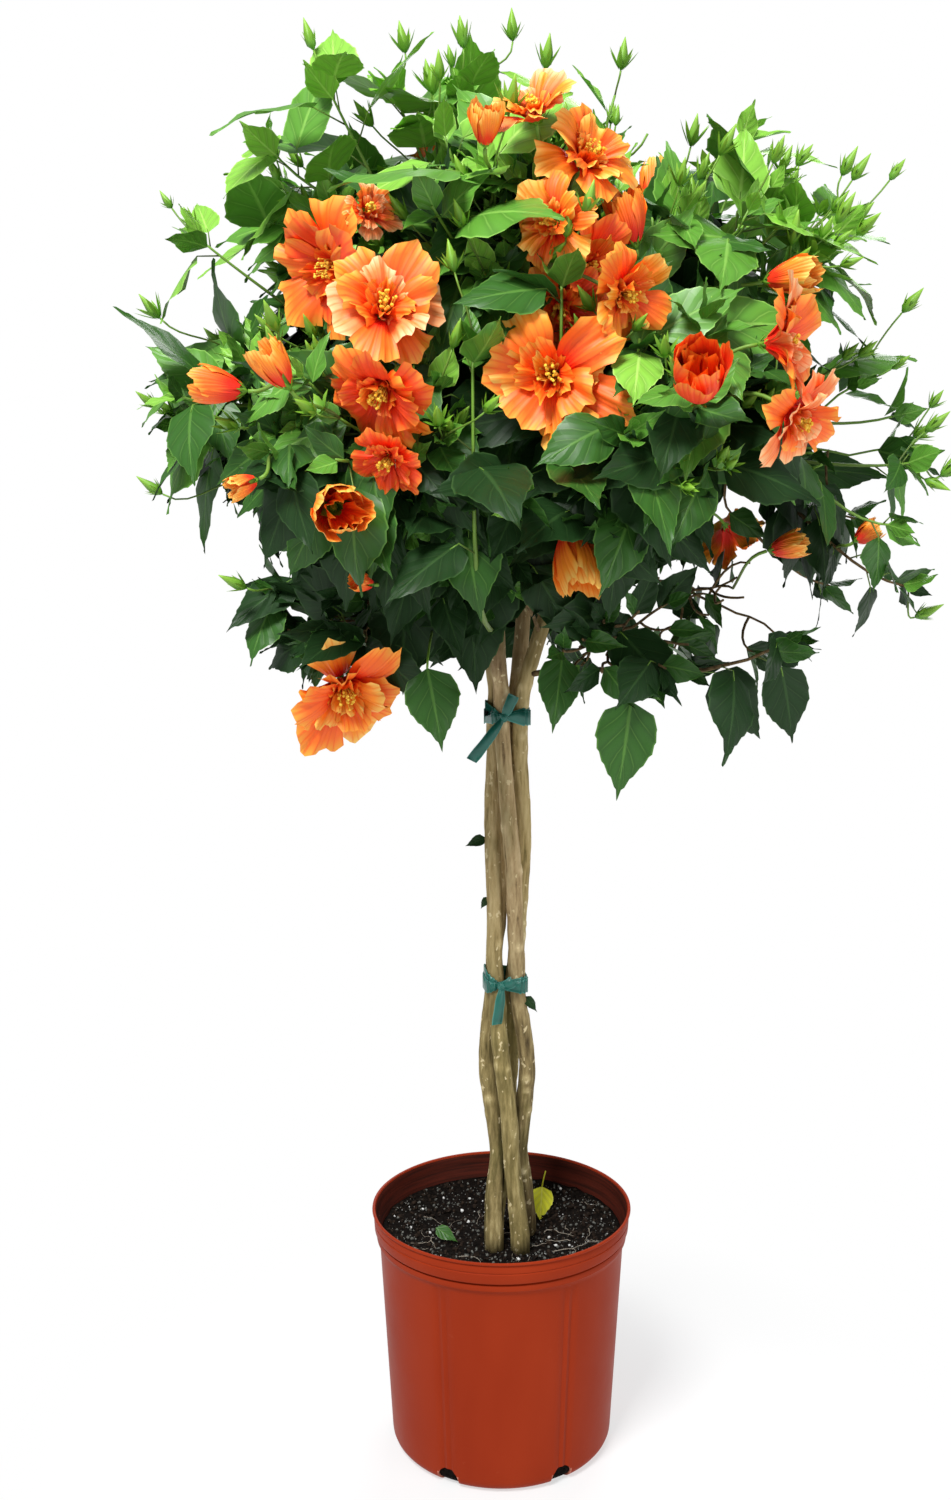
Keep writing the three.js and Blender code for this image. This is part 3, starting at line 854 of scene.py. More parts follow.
fit_braid()
bough_lines = {}
for bough in BOUGHS:
    points = node_points(bough)
    target = mass_middle(bough.replace("bough_", "mass_"))
    axis = unit(target - points[np.argmax(np.linalg.norm(points - target, axis=1))])
    middles, radii = slice_limb(bough, axis, 9)
    joins = [np.linalg.norm(line - middles[0], axis=1) for line, _ in stem_lines.values()]
    nearest = min(range(len(joins)), key=lambda k: joins[k].min())
    parent = stem_lines[STEMS[nearest]][0]
    root = parent[np.argmin(joins[nearest])]
    bough_lines[bough] = (np.vstack([root, middles]), np.concatenate([[radii[0] * 1.25], radii]))
print("middle lines:", len(stem_lines), "stems and", len(bough_lines), "boughs")

# %% Bark
# How far each stem's bark is cast towards green.
STEM_TINTS = (0.0, 0.9, 0.35, 0.6)
# How far the painted shade reaches from where stems lie against each other.
SHADE_CREVICE_WIDTH = 0.0034
STEM_SCARS = 20


def bark_tube(path, radii, sides, depth, seed, scars):
    """A tube with fissured skin; also gives the push and the height at every point."""
    points, triangles, uv = tube(path, radii, sides)
    rings = len(path)
    middle = np.repeat(path, sides, 0)
    away = unit(points - middle)
    turn = np.tile(np.arange(sides) / sides * 2 * math.pi, rings)
    run = np.repeat(run_along(path), sides)
    push = np.zeros(len(points))
    for k, (t, s) in enumerate(zip(turn, run)):
        c, d = math.cos(t), math.sin(t)
        ridge = 1 - abs(noise.noise(Vector((c * 2.6 + seed, d * 2.6, s * 26)))) * 2.4
        fine = noise.noise(Vector((c * 6 + seed, d * 6, s * 130)))
        swell = noise.noise(Vector((c * 0.9, d * 0.9 + seed, s * 20)))
        push[k] = 0.55 * ridge + 0.25 * fine + 0.5 * swell
    for along, around, size in scars:
        near = ((run - along) / size) ** 2 + (np.sin((turn - around) / 2) * 2 * radii.mean() / size) ** 2
        push += 1.6 * np.exp(-near * 1.5) - 0.9 * np.exp(-near * 9)
    points = points + away * (push * depth)[:, None]
    return points, triangles, uv, np.clip(0.42 + push * 0.42, 0, 1), points[:, 2]


def crevice_shade(points, limb, limbs):
    """How deep each point lies between this limb and another, 0 to 1, for painted shade there."""
    gap = np.full(len(points), 1.0)
    for other in limbs:
        if other is not limb:
            middles, thick = other[0][::3], other[1][::3]
            gap = np.minimum(gap, (np.linalg.norm(points[:, None] - middles, axis=2) - thick).min(1))
    return np.exp(-(np.maximum(gap, 0) / SHADE_CREVICE_WIDTH) ** 2)


def bark_piece(name, limbs, slot_name, close=False):
    """One piece of several limbs; close paints shade on the bark where limbs lie against each other."""
    heap, relief_and_shade, height, tint = Heap(), [], [], []
    for k, limb in enumerate(limbs):
        points, triangles, uv, push, z = bark_tube(*limb)
        heap.add(points, triangles, uv)
        # Painted shade: the bark is darkened where the stems lie against each other.
        relief_and_shade.append(push - 0.9 * crevice_shade(points, limb, limbs) if close else push)
        height.append(z)
        tint.append(np.full(len(points), STEM_TINTS[k % len(STEM_TINTS)]))
    made = heap.piece(name, FINISH["bark"], slot_name)
    for key, values in (("relief_and_shade", relief_and_shade), ("height", height), ("tint", tint)):
        layer = made.data.attributes.new(key, "FLOAT", "POINT")
        layer.data.foreach_set("value", np.concatenate(values).astype(np.float32))
    return made


stem_limbs = []
for k, stem in enumerate(STEMS):
    path, radii = resample(*stem_lines[stem], 0.0032)
    path[0, 2] = SOIL_TOP - 0.006
    scars = [(rng.uniform(0.03, 0.6), rng.uniform(0, TURN), rng.uniform(0.003, 0.0055))
             for _ in range(STEM_SCARS)]
    stem_limbs.append((path, radii, 30, 0.0008, 11.0 * k, scars))
stems = bark_piece("braided_stems", stem_limbs, "bark", close=True)
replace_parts(stems, *STEMS)
bough_limbs = []
for k, bough in enumerate(BOUGHS):
    path, radii = resample(*bough_lines[bough], 0.005)
    bough_limbs.append((path, radii, 14, 0.0004, 5.0 * k, [(0.03, 1.0 + k, 0.004)]))
boughs = bark_piece("boughs", bough_limbs, "bark")
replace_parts(boughs, *BOUGHS)

# %% [markdown]
# ## Ties
#
# Green plastic tape is pulled twice round the four stems and knotted in front. A plain ring would stand off
# the stems, or cut into them. Tape runs straight from one stem to the next, so its line is the hull of their
# sections. A strip is swept along it, gathered narrow where it meets the knot. The knot is three small
# loops, and the tails are blunt flat strips that curl out.

# %% Tie tape
TAPE_WIDTH = 0.0135
TAPE_THICK = 0.0009
TIE_HEIGHTS = {"tie_lower": 0.478, "tie_upper": 0.742}
TIE_SLOPE = -0.10
# For each wrap: how far out of the bark it lies, how it tilts beyond the slope, and how far up it lies.
WRAPS = [(0.0009, -0.05, 0.0028), (0.0019, 0.10, -0.0024)]
GATHER_WIDTH = 0.011
TAIL_WIDTHS = np.array([0.3, 0.42, 0.55, 0.66, 0.72, 0.74, 0.74, 0.76, 0.8, 0.84, 0.84, 0.8])
KNOT_LOOPS = (0.7, -0.5, 2.2)


def strip(path, widths, outward, thick):
    """A flat closed strip along a path, lying against a surface that faces outward."""
    path, outward = np.asarray(path, float), np.asarray(outward, float)
    along = unit(np.gradient(path, axis=0))
    outward = square_to(outward, along)
    side = np.cross(along, outward)
    half = np.asarray(widths)[:, None] / 2
    corners = [path + side * half, path + side * half + outward * thick,
               path - side * half + outward * thick, path - side * half]
    points = np.stack(corners, 1).reshape(-1, 3)
    walls = grid_triangles(len(path), 4, ring=True)
    last = (len(path) - 1) * 4
    caps = np.array([[0, 1, 2], [0, 2, 3], [last, last + 2, last + 1], [last, last + 3, last + 2]])
    uv = np.tile([[0, 0], [0, 0.1], [1, 0.9], [1, 1]], (len(path), 1)).astype(float)
    return points, np.concatenate([walls, caps]), uv


def hull_round(sections, grow):
    """The line of a tape pulled round circles, in plan."""
    turn, ways = circle(48), circle(96)
    rim = np.concatenate([c + (r + grow) * np.stack([np.cos(turn), np.sin(turn)], 1) for c, r in sections])
    heading = np.stack([np.cos(ways), np.sin(ways)], 1)
    return rim[np.argmax(rim @ heading.T, axis=0)], heading


# %% Wraps, knots and tails
def add_wrap(heap, sections, knot, middle, number):
    """One turn of tape round all the stems."""
    grow, tilt, shift = WRAPS[number]
    line, heading = hull_round(sections, grow)
    gather = np.exp(-(np.hypot(*(line - knot[:2]).T) / GATHER_WIDTH) ** 2)
    tilt = TIE_SLOPE + tilt
    lift = tilt * (line[:, 0] - middle[0]) * (1 - gather) + shift * (1 - gather)
    path = np.column_stack([line, knot[2] + lift])
    path = np.vstack([path, path[:2]])
    heading = np.vstack([heading, heading[:2]])
    crease = 1 + 0.10 * np.sin(np.arange(len(path)) * 0.9 + number)
    widths = TAPE_WIDTH * crease * np.append(1 - 0.66 * gather, (1 - 0.66 * gather)[:2])
    heap.add(*strip(path, widths, np.column_stack([heading, np.zeros(len(heading))]), TAPE_THICK))


def add_tail(heap, knot, lean, length, curl):
    """A loose end: how it leans from upright in degrees, its length, and how far it curls out."""
    way = np.array([math.sin(math.radians(lean)), 0, math.cos(math.radians(lean))])
    run = np.linspace(0, 1, len(TAIL_WIDTHS))[:, None]
    path = knot + way * run * length + np.array([0, -1, 0]) * (0.002 + curl * np.sin(run * math.pi * 0.9))
    facing = np.array([0.15, -1, 0.2]) + run * np.array([0.4, 0.1, 0.2])
    heap.add(*strip(path, TAPE_WIDTH * TAIL_WIDTHS, facing, TAPE_THICK * 0.7))


def build_tie(node, tails):
    height = TIE_HEIGHTS[node]
    sections = []
    for line, radii in stem_lines.values():
        k = row_at(line, height)
        sections.append((line[k, :2], radii[k]))
    middle = np.mean([c for c, _ in sections], 0)
    heap = Heap()
    front = min(c[1] - r for c, r in sections) - 0.003
    knot = np.array([middle[0] - 0.003, front, height])
    for number in range(len(WRAPS)):
        add_wrap(heap, sections, knot, middle, number)
    spin = np.linspace(0, TURN, 14)
    for turn in KNOT_LOOPS:
        loop = knot + np.stack([np.cos(spin) * 0.0034 * math.cos(turn), -0.0012 + np.sin(spin) * 0.0022,
                                np.cos(spin) * 0.0042 * math.sin(turn)], 1)
        heap.add(*strip(loop, np.full(len(spin), 0.0045), loop - knot, TAPE_THICK))
    for tail in tails:
        add_tail(heap, knot, *tail)
    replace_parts(heap.piece(node + "_tape", FINISH["tie_plastic"], "tie"), node)


build_tie("tie_lower", [(188, 0.038, 0.003), (62, 0.012, 0.002)])
build_tie("tie_upper", [(24, 0.023, 0.002), (217, 0.051, 0.008)])

# %% [markdown]
# ## One leaf
#
# A hibiscus leaf is broad near its stalk, drawn out to a point, and coarsely toothed but for its foot. It
# folds a little along the midrib and arches down to its tip. Each half is two strips of faces: an inner one
# from the midrib, and an outer one whose edge zigzags from notch to tooth. Ten different leaves are shaped,
# and the thousands on the plant are copies of those.

# %% Leaf shape
TEETH = 8
YOUNG_TEETH = 5
TOOTH = 0.026
PLAIN_FOOT = 0.22


def leaf_template(breadth, fold, arch, wave, seed, teeth=TEETH):
    """Points, triangles and uv of one leaf of length one, along +Y, with its face to +Z."""
    local = np.random.default_rng(seed)

    def half_width(t):
        t = np.clip(t, 0, 1)
        return breadth * 0.5 * np.sin(math.pi * t ** 0.60) ** (0.85 + 0.95 * t ** 2)

    def surface(x_share, t, out=0.0):
        width = half_width(t) + out
        x = x_share * width
        lift = np.abs(x) * fold - arch * t ** 2 - 0.35 * x * x / breadth
        ripple = wave * np.abs(x_share) ** 2 * math.sin(t * 13 + seed + (2.0 if x_share > 0 else 0.0))
        return [x, t, lift + ripple]

    points, uv, triangles = [], [], []

    def put(x_share, t, out=0.0):
        points.append(surface(x_share, t, out))
        uv.append([0.5 + 0.5 * x_share, t])
        return len(points) - 1

    stations = np.linspace(0, 1, teeth + 1) ** 0.92
    spine = [put(0.0, t) for t in stations]
    for side in (-1, 1):
        inner = [spine[0]] + [put(0.5 * side, t) for t in stations[1:-1]] + [spine[-1]]
        notch = [spine[0]] + [put(1.0 * side, t) for t in stations[1:-1]] + [spine[-1]]
        for k in range(teeth):
            t = stations[k] + (stations[k + 1] - stations[k]) * 0.78
            blunt = k < teeth * PLAIN_FOOT or k == teeth - 1
            size = TOOTH * breadth * local.uniform(0.7, 1.3) * (0.3 if blunt else 1.0)
            tooth = put(1.0 * side, t, size)
            faces = [(spine[k], spine[k + 1], inner[k + 1]), (spine[k], inner[k + 1], inner[k]),
                     (inner[k], inner[k + 1], tooth), (inner[k], tooth, notch[k]),
                     (inner[k + 1], notch[k + 1], tooth)]
            for face in faces:
                if len(set(face)) == 3:
                    triangles.append(face if side < 0 else face[::-1])
    return np.array(points), np.array(triangles), np.array(uv)


# Breadth, fold, arch, wave of the edge and seed.
LEAVES = [leaf_template(*shape) for shape in (
    (0.60, 0.12, 0.16, 0.020, 1), (0.66, 0.05, 0.26, 0.026, 2), (0.54, 0.22, 0.12, 0.018, 3),
    (0.68, -0.04, 0.20, 0.032, 4), (0.68, 0.14, 0.34, 0.022, 5), (0.56, 0.26, 0.10, 0.014, 6))]
YOUNG_LEAVES = [leaf_template(*shape, YOUNG_TEETH) for shape in (
    (0.52, 0.45, 0.02, 0.03, 7), (0.60, 0.35, -0.12, 0.04, 8),
    (0.46, 0.60, 0.14, 0.03, 9), (0.56, 0.25, 0.24, 0.04, 10))]
print("one leaf has", len(LEAVES[0][1]), "faces")

# %% Copies
def stamp(template, places, ways, faces, lengths):
    """Copies of a leaf or bud at many places, each along its way with its face turned to faces."""
    points, triangles, uv = template
    ways = unit(ways)
    faces = square_to(faces, ways)
    sides = np.cross(ways, faces)
    basis = np.stack([sides, ways, faces], 1) * lengths[:, None, None]
    placed = np.einsum("nk,mkj->mnj", points, basis) + places[:, None]
    offsets = np.arange(len(places))[:, None, None] * len(points)
    return placed.reshape(-1, 3), (triangles[None] + offsets).reshape(-1, 3), np.tile(uv, (len(places), 1))


def stamp_one(template, place, way, face, length):
    return stamp(template, *(np.array([value], float) for value in (place, way, face, length)))


def square_pair(axis, guide=(0.57, 0.31, 0.76)):
    """Two directions square to an axis and to each other."""
    first = square_to(np.array(guide), axis)
    return first, np.cross(axis, first)


# %% [markdown]
# ## Growing the head
#
# Each bough or stem enters a mass. From there shoots spread to all sides of that mass, stopping a little
# inside its skin, and every shoot has side shoots of its own. Leaves stand on them in the turn that hibiscus
# leaves have, about 137 degrees from one to the next. Tips in the light are tufts of small yellow-green
# leaves with buds among them. Leaves stand level at the top of the head and hang more the lower they are.

# %% Room for growth
GROWTH_SEED = 11
rng = np.random.default_rng(GROWTH_SEED)
HEAD_MIDDLE = np.mean([mass_middle(node) for node in MASSES], axis=0)
HEAD_RADIUS = 0.33
TIP_ROOM = 0.050
MOST_BACKWARD = -0.35
LEAF_LENGTH = (0.074, 0.104)
LOWEST_LEAF = 0.768
GOLDEN = math.radians(137.5)
# How thickly some masses are filled, against 1 for the rest.
THICKET = {"mass_upper_left": 0.7, "mass_low_right": 0.36, "mass_middle_right": 0.75,
           "mass_middle_left": 0.8, "mass_low_left": 0.75, "mass_middle_front": 1.1,
           "mass_middle_front_left": 1.1, "mass_upper_front": 0.95, "mass_upper_front_right": 0.8,
           "mass_upper_right": 0.75, "mass_top_left": 0.75, "mass_top_right": 0.7}
SHOOTS = 19
# Where each side shoot leaves its shoot, and its length, as shares of the shoot's length.
SIDE_SHOOTS = ((0.40, 0.50), (0.68, 0.42))


def skin_of(node):
    faces = [face.vertices[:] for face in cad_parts[node].data.polygons]
    return BVHTree.FromPolygons(node_points(node).tolist(), faces)


def reach_from(skin, start, way):
    """How far the skin is from a point inside it."""
    hit = skin.ray_cast(Vector(start), Vector(way))
    return hit[3] if hit[3] is not None else 0.05


def even_ways(count, turn):
    """Directions spread evenly over a ball."""
    k = np.arange(count) + 0.5
    lift = np.arccos(1 - 2 * k / count)
    around = math.pi * (1 + math.sqrt(5)) * k + turn
    return np.stack([np.cos(around) * np.sin(lift), np.sin(around) * np.sin(lift), np.cos(lift)], 1)


def heading(bearing, lift):
    b, e = math.radians(bearing), math.radians(lift)
    return np.array([math.cos(e) * math.cos(b), math.cos(e) * math.sin(b), math.sin(e)])


# %% Shoots
class Shoot:
    """One twig: its path, how thick its foot is, how low its leaves may hang, how many leaves its tuft has
    and how large its leaves are; from its tip come its rise in the head (-1 to 1) and its sun (0 to 1)."""

    def __init__(self, path, thick, floor=LOWEST_LEAF, tuft=5, scale=1.0):
        self.path, self.thick, self.floor, self.tuft, self.scale = path, thick, floor, tuft, scale
        tip = path[-1]
        self.rise = float(np.clip((tip[2] - HEAD_MIDDLE[2]) / HEAD_RADIUS, -1, 1))
        depth = np.linalg.norm(tip - HEAD_MIDDLE) / HEAD_RADIUS
        self.sunny = float(np.clip(0.75 * self.rise + 0.6 * (depth - 0.7) + 0.28, 0, 1))


def side_shoots(path, outward):
    made = []
    gap = np.linalg.norm(path[-1] - path[0])
    for share, part in SIDE_SHOOTS:
        k = int(share * 9)
        along = unit(path[k + 1] - path[k])
        aside = square_to(rng.normal(size=3) + outward * 0.6, along)
        reach = min(gap * part * rng.uniform(0.8, 1.15), 0.10)
        end = path[k] + unit(aside + along * 0.6 + UP * 0.2) * reach
        arrive = end - unit(along + outward * 0.5 + UP * 0.3) * reach * 0.35
        made.append(Shoot(bend(path[k], path[k] + aside * reach * 0.4, arrive, end, 7), 0.0014, tuft=4))
    return made


# %% Shoots in every mass
shoots = []
for node in MASSES:
    skin, middle = skin_of(node), mass_middle(node)
    outward = unit(middle - HEAD_MIDDLE)
    limb = node.replace("mass_", "bough_")
    if limb in bough_lines:
        line, radii = bough_lines[limb]
    else:
        ends = {stem: np.linalg.norm(stem_lines[stem][0][-1] - middle) for stem in STEMS}
        line, radii = stem_lines[min(ends, key=ends.get)]
    entry, ahead, thick = line[-1], unit(line[-1] - line[-3]), radii[-1]
    for way in even_ways(int(SHOOTS * THICKET.get(node, 1.0)), rng.uniform(0, 6)):
        way = unit(way + rng.normal(0, 0.16, 3))
        if way @ outward < MOST_BACKWARD:
            continue
        tip = middle + way * max(reach_from(skin, middle, way) - TIP_ROOM, 0.02)
        if tip[2] < LOWEST_LEAF + 0.03:
            continue
        foot = entry + (middle - entry) * rng.uniform(0.0, 0.45)
        gap = np.linalg.norm(tip - foot)
        lifted = UP * (0.55 if outward[2] > -0.35 else 0.1)
        arrive = tip - unit(way + outward * 0.5 + lifted) * gap * 0.38
        path = bend(foot, foot + ahead * gap * 0.35, arrive, tip, 10)
        path[1:-1] += rng.normal(0, 0.0016, (8, 3))
        shoots.append(Shoot(path, max(0.0016, min(0.003, thick * 0.5))))
        shoots += side_shoots(path, outward)


# %% Shoots listed one by one
# Low shoots in front of the fork: bearing, lift and distance from the middle of the head.
SKIRT = [(228, -36, 0.25), (238, -42, 0.24), (248, -38, 0.23), (256, -46, 0.24), (264, -34, 0.24),
         (272, -45, 0.23), (281, -38, 0.23), (290, -46, 0.24), (242, -24, 0.27), (254, -20, 0.27),
         (266, -18, 0.28), (278, -24, 0.27), (288, -20, 0.27), (260, -28, 0.20), (275, -30, 0.20),
         (246, -30, 0.20)]
for bearing, lift, away in SKIRT:
    tip = HEAD_MIDDLE + heading(bearing, lift) * away
    line = stem_lines[STEMS[int(rng.integers(4))]][0]
    foot = line[row_at(line, tip[2] - 0.03)]
    out = heading(bearing, 10)
    leave, arrive = foot + (out + UP * 0.6) * 0.07, tip - out * 0.05 + UP * 0.02
    shoots.append(Shoot(bend(foot, leave, arrive, tip, 9), 0.002))

# A bare old branch low on the right, and two tall green leaders in front.
OLD_BRANCH = np.array([[0.030, -0.03, 0.784], [0.062, -0.07, 0.794], [0.10, -0.12, 0.796],
                       [0.14, -0.155, 0.797], [0.172, -0.175, 0.802], [0.205, -0.19, 0.812],
                       [0.235, -0.195, 0.826]])
LEADERS = [([0.0, -0.09, 0.83], [-0.022, -0.262, 1.062]), ([0.02, -0.09, 0.90], [0.046, -0.255, 1.115])]
# Long shoots that stand out of the head, up on the left and out on the right: where each ends.
LONG_TIPS = [(-0.150, -0.08, 1.296), (-0.205, -0.06, 1.252), (-0.095, -0.02, 1.306), (0.372, -0.07, 0.978),
             (0.362, -0.09, 0.868), (0.372, 0.01, 1.024), (0.345, -0.12, 0.922), (0.325, 0.06, 0.862),
             (-0.285, -0.10, 1.035), (-0.270, -0.05, 1.175), (0.300, -0.06, 1.180), (0.215, -0.06, 1.262)]
shoots.append(Shoot(OLD_BRANCH, 0.0028, floor=0.70))
for start, tip in LEADERS:
    start, tip = np.array(start), np.array(tip)
    forward = np.array([tip[0], tip[1] + 0.01, start[2]])
    shoots.append(Shoot(bend(start, forward, forward + UP * 0.05, tip, 12), 0.0028, tuft=7))
grown = np.concatenate([shoot.path for shoot in shoots])
for tip in LONG_TIPS:
    tip = np.array(tip)
    inward = tip - unit(tip - HEAD_MIDDLE) * 0.14
    foot = grown[np.argmin(np.linalg.norm(grown - inward, axis=1))]
    arrive = tip - unit(tip - HEAD_MIDDLE + UP * 0.1) * 0.05
    path = bend(foot, foot + unit(tip - foot) * 0.05, arrive, tip, 9)
    shoots.append(Shoot(path, 0.002, tuft=4, scale=0.66 if tip[0] > 0.3 else 0.95))
print(len(shoots), "shoots")

# %% [markdown]
# ## Blooms
#
# A double bloom has six broad outer petals, a second ring of five, and a crowd of small crumpled ones round
# a tuft of yellow anthers. One petal is a small sheet, narrow at its foot, fanning out to a ruffled edge.
# Its slope from the bloom's axis changes along its length, so the same function gives the open petals, the
# upright inner ones and the rolled petals of a bloom that is only half open.

# %% Petals
PETAL_ROWS = 9
PETAL_COLUMNS = 13


def petal(axis, turn, length, width, tilt, flare, cup, ruffle, seed, foot=0.003, rolled=0.0):
    """One petal about an axis: tilt and flare are its slope from the axis at foot and tip, in degrees."""
    local = np.random.default_rng(seed)
    a, b, c, d = local.uniform(0, 6, 4)
    t = np.linspace(0, 1, PETAL_ROWS)[:, None]
    u = np.linspace(-1, 1, PETAL_COLUMNS)[None]
    scallop = 0.045 * np.sin(5 * u + a) + 0.03 * np.sin(12 * u + b)
    reach = t * (1 - 0.27 * np.abs(u) ** 2.2 + scallop * t)
    slope = np.radians(tilt + (flare - tilt) * reach ** 1.1)
    step = np.gradient(reach, axis=0)
    outwards = foot + length * np.cumsum(np.sin(slope) * step, 0)
    along = length * np.cumsum(np.cos(slope) * step, 0)
    wide = width * 0.5 * (0.13 + 0.87 * t ** 0.85)
    wobble = 0.6 * np.sin(u * 4.6 + a + 2 * t) + 0.5 * np.sin(u * 9.5 + b)
    wobble = wobble + 0.4 * np.abs(u) * np.sin(t * 8 + c)
    push = ruffle * length * t ** 1.5 * wobble + cup * wide * u ** 2
    push = push + 0.006 * length * t * np.cos(u * 15 + d)
    outwards = outwards + np.cos(slope) * push
    along = along - np.sin(slope) * push
    bearing = turn + u * wide / np.maximum(outwards, 0.004) * rolled
    across = u * wide * (1 - rolled) * (1 + 0.1 * np.sin(t * 7 + d))
    axis = unit(np.asarray(axis, float))
    first, second = square_pair(axis, (0.31, 0.77, 0.55))
    radial = first * np.cos(bearing)[..., None] + second * np.sin(bearing)[..., None]
    tangent = -first * np.sin(bearing)[..., None] + second * np.cos(bearing)[..., None]
    points = radial * outwards[..., None] + tangent * across[..., None] + axis * along[..., None]
    uv = np.stack(np.broadcast_arrays(0.5 + 0.5 * u, t), -1)
    return points.reshape(-1, 3), grid_triangles(PETAL_ROWS, PETAL_COLUMNS), uv.reshape(-1, 2)


# %% Whole blooms
petals = {tint: Heap() for tint in ("orange", "red", "gold", "peach")}
anthers, bud_parts, flower_stalks = Heap(), Heap(), Heap()
ANTHERS = 24


def add_ring(tints, place, axis, size, start, count, length, width, tilt, flare, ruffle, cup=0.1, **more):
    """A ring of petals of mixed tints. Length and width, as shares of the bloom's size, and tilt, flare and
    ruffle are each a low and a high value."""
    length, width = size * np.array(length), size * np.array(width)
    for k in range(count):
        points, triangles, uv = petal(
            axis, start + (k + rng.normal(0, 0.2)) * 2 * math.pi / count, rng.uniform(*length),
            rng.uniform(*width), rng.uniform(*tilt), rng.uniform(*flare), rng.uniform(-cup, cup),
            rng.uniform(*ruffle), int(rng.integers(1e6)), **more)
        petals[tints[k % len(tints)]].add(points + place, triangles, uv)


def add_anthers(place, axis, size):
    points, triangles = LUMP
    for _ in range(ANTHERS):
        spread = square_to(rng.normal(size=3), axis) * size * 0.15 * math.sqrt(rng.random())
        top = place + axis * size * rng.uniform(0.2, 0.46) + spread
        anthers.add(points * rng.uniform(0.0010, 0.0017) + top, triangles)
        thread = [place + spread * 0.3, (place + top) / 2 + spread * 0.3, top]
        anthers.add(*tube(thread, [0.0004] * 3, 3))


def open_bloom(place, axis, size, tint, other):
    """Three rings of petals round anthers, on a calyx; size is the bloom's radius. Gives the stalk's end."""
    foot = place - axis * size * 0.35
    start = rng.uniform(0, 6)
    add_ring((tint, tint, other), foot, axis, size, start, 6, (0.82, 1.16), (0.70, 0.98), (20, 48),
             (66, 136), (0.05, 0.09), 0.2)
    add_ring((other, tint, tint), foot, axis, size, start + 0.4, 5, (0.66, 0.9), (0.5, 0.72), (10, 28),
             (52, 98), (0.08, 0.14), 0.3)
    add_ring((tint, other), foot, axis, size, start + 0.2, 8, (0.38, 0.66), (0.26, 0.46), (0, 22), (14, 74),
             (0.12, 0.2), 0.6)
    add_anthers(foot + axis * size * 0.15, axis, size)
    add_calyx(foot - axis * size * 0.05, axis, size * 0.22)
    return foot - axis * size * 0.08


def half_open(place, axis, size, tint):
    """A rolled bloom, size long, with its mouth just opening. Gives the stalk's end."""
    foot = place - axis * size * 0.5
    start = rng.uniform(0, 6)
    add_ring((tint,), foot, axis, size, start, 6, (0.9, 1.04), (0.55, 0.66), (30, 38), (-16, 4),
             (0.02, 0.04), 0.05, rolled=0.85)
    add_ring(("orange",), foot, axis, size, start + 0.5, 4, (0.74, 0.88), (0.4, 0.5), (16, 24), (-4, 16),
             (0.08, 0.12), 0.1, rolled=0.7)
    add_calyx(foot, axis, size * 0.32)
    return foot - axis * 0.002


# %% [markdown]
# Buds are green, slender, pointed and ribbed, and stand in a collar of narrow leaflets on a thin stalk. A
# bud is turned once as a small closed shape, and its five ribs are pressed in.

# %% Buds
def spindle(rows, sides, fat, ribs):
    """A closed pointed shape of length one along +Y, swelling near its foot."""
    t = np.linspace(0, 1, rows)
    radius = fat * np.sin(math.pi * t ** 0.6) ** 0.8 * (1 - 0.35 * t) + 0.010
    turn = circle(sides)
    rib = 1 + ribs * np.cos(5 * turn)[None] * np.sin(math.pi * t)[:, None]
    x = radius[:, None] * np.cos(turn)[None] * rib
    z = radius[:, None] * np.sin(turn)[None] * rib
    y = np.broadcast_to(t[:, None], x.shape)
    triangles = grid_triangles(rows, sides, ring=True)[:, ::-1]
    foot = disc(sides)
    head = foot[:, ::-1] + (rows - 1) * sides
    uv = np.stack([np.tile(turn / TURN, rows), np.repeat(t, sides)], 1)
    return np.stack([x, y, z], -1).reshape(-1, 3), np.concatenate([triangles, foot, head]), uv


def leaflet(breadth, fold, curl):
    """A narrow plain leaflet of length one along +Y, folded along its middle."""
    points, uv = [[0, 0, 0]], [[0.5, 0]]
    for t, share in ((0.3, 0.9), (0.62, 0.8)):
        for side in (-1, 0, 1):
            x = side * share * breadth / 2
            points.append([x, t, abs(x) * fold + curl * t * t])
            uv.append([0.5 + 0.5 * side, t])
    points.append([0, 1, curl])
    uv.append([0.5, 1])
    faces = [(0, 2, 1), (0, 3, 2), (1, 2, 5), (1, 5, 4), (2, 3, 6), (2, 6, 5), (4, 5, 7), (5, 6, 7)]
    return np.array(points, float), np.array(faces), np.array(uv, float)


BUD = spindle(7, 10, 0.165, 0.2)
CALYX_CUP = spindle(4, 8, 0.34, 0.0)
BRACT = leaflet(0.20, 0.5, 0.15)
SEPAL = leaflet(0.48, 0.4, -0.1)
SEPALS, BRACTS = 5, 7

# %% Collars and cups
def add_collar(place, axis, size, count, template, spread):
    """Leaflets in a ring round an axis."""
    first, second = square_pair(axis)
    turn = np.arange(count) * 2 * math.pi / count + rng.uniform(0, 1)
    radial = first * np.cos(turn)[:, None] + second * np.sin(turn)[:, None]
    ways = radial * math.sin(spread) + axis * math.cos(spread)
    bud_parts.add(*stamp(template, place + radial * size * 0.08, ways, -radial, np.full(count, size)))


def add_calyx(place, axis, size):
    """The green cup under a bloom, with its sepals and the leaflets below them."""
    add_collar(place, axis, size * 1.25, SEPALS, SEPAL, 0.42)
    add_collar(place - axis * size * 0.1, axis, size * 0.9, BRACTS, BRACT, 0.95)
    cup = place - axis * size * 0.2
    bud_parts.add(*stamp_one(CALYX_CUP, cup, axis, square_pair(axis)[0], size * 0.9))


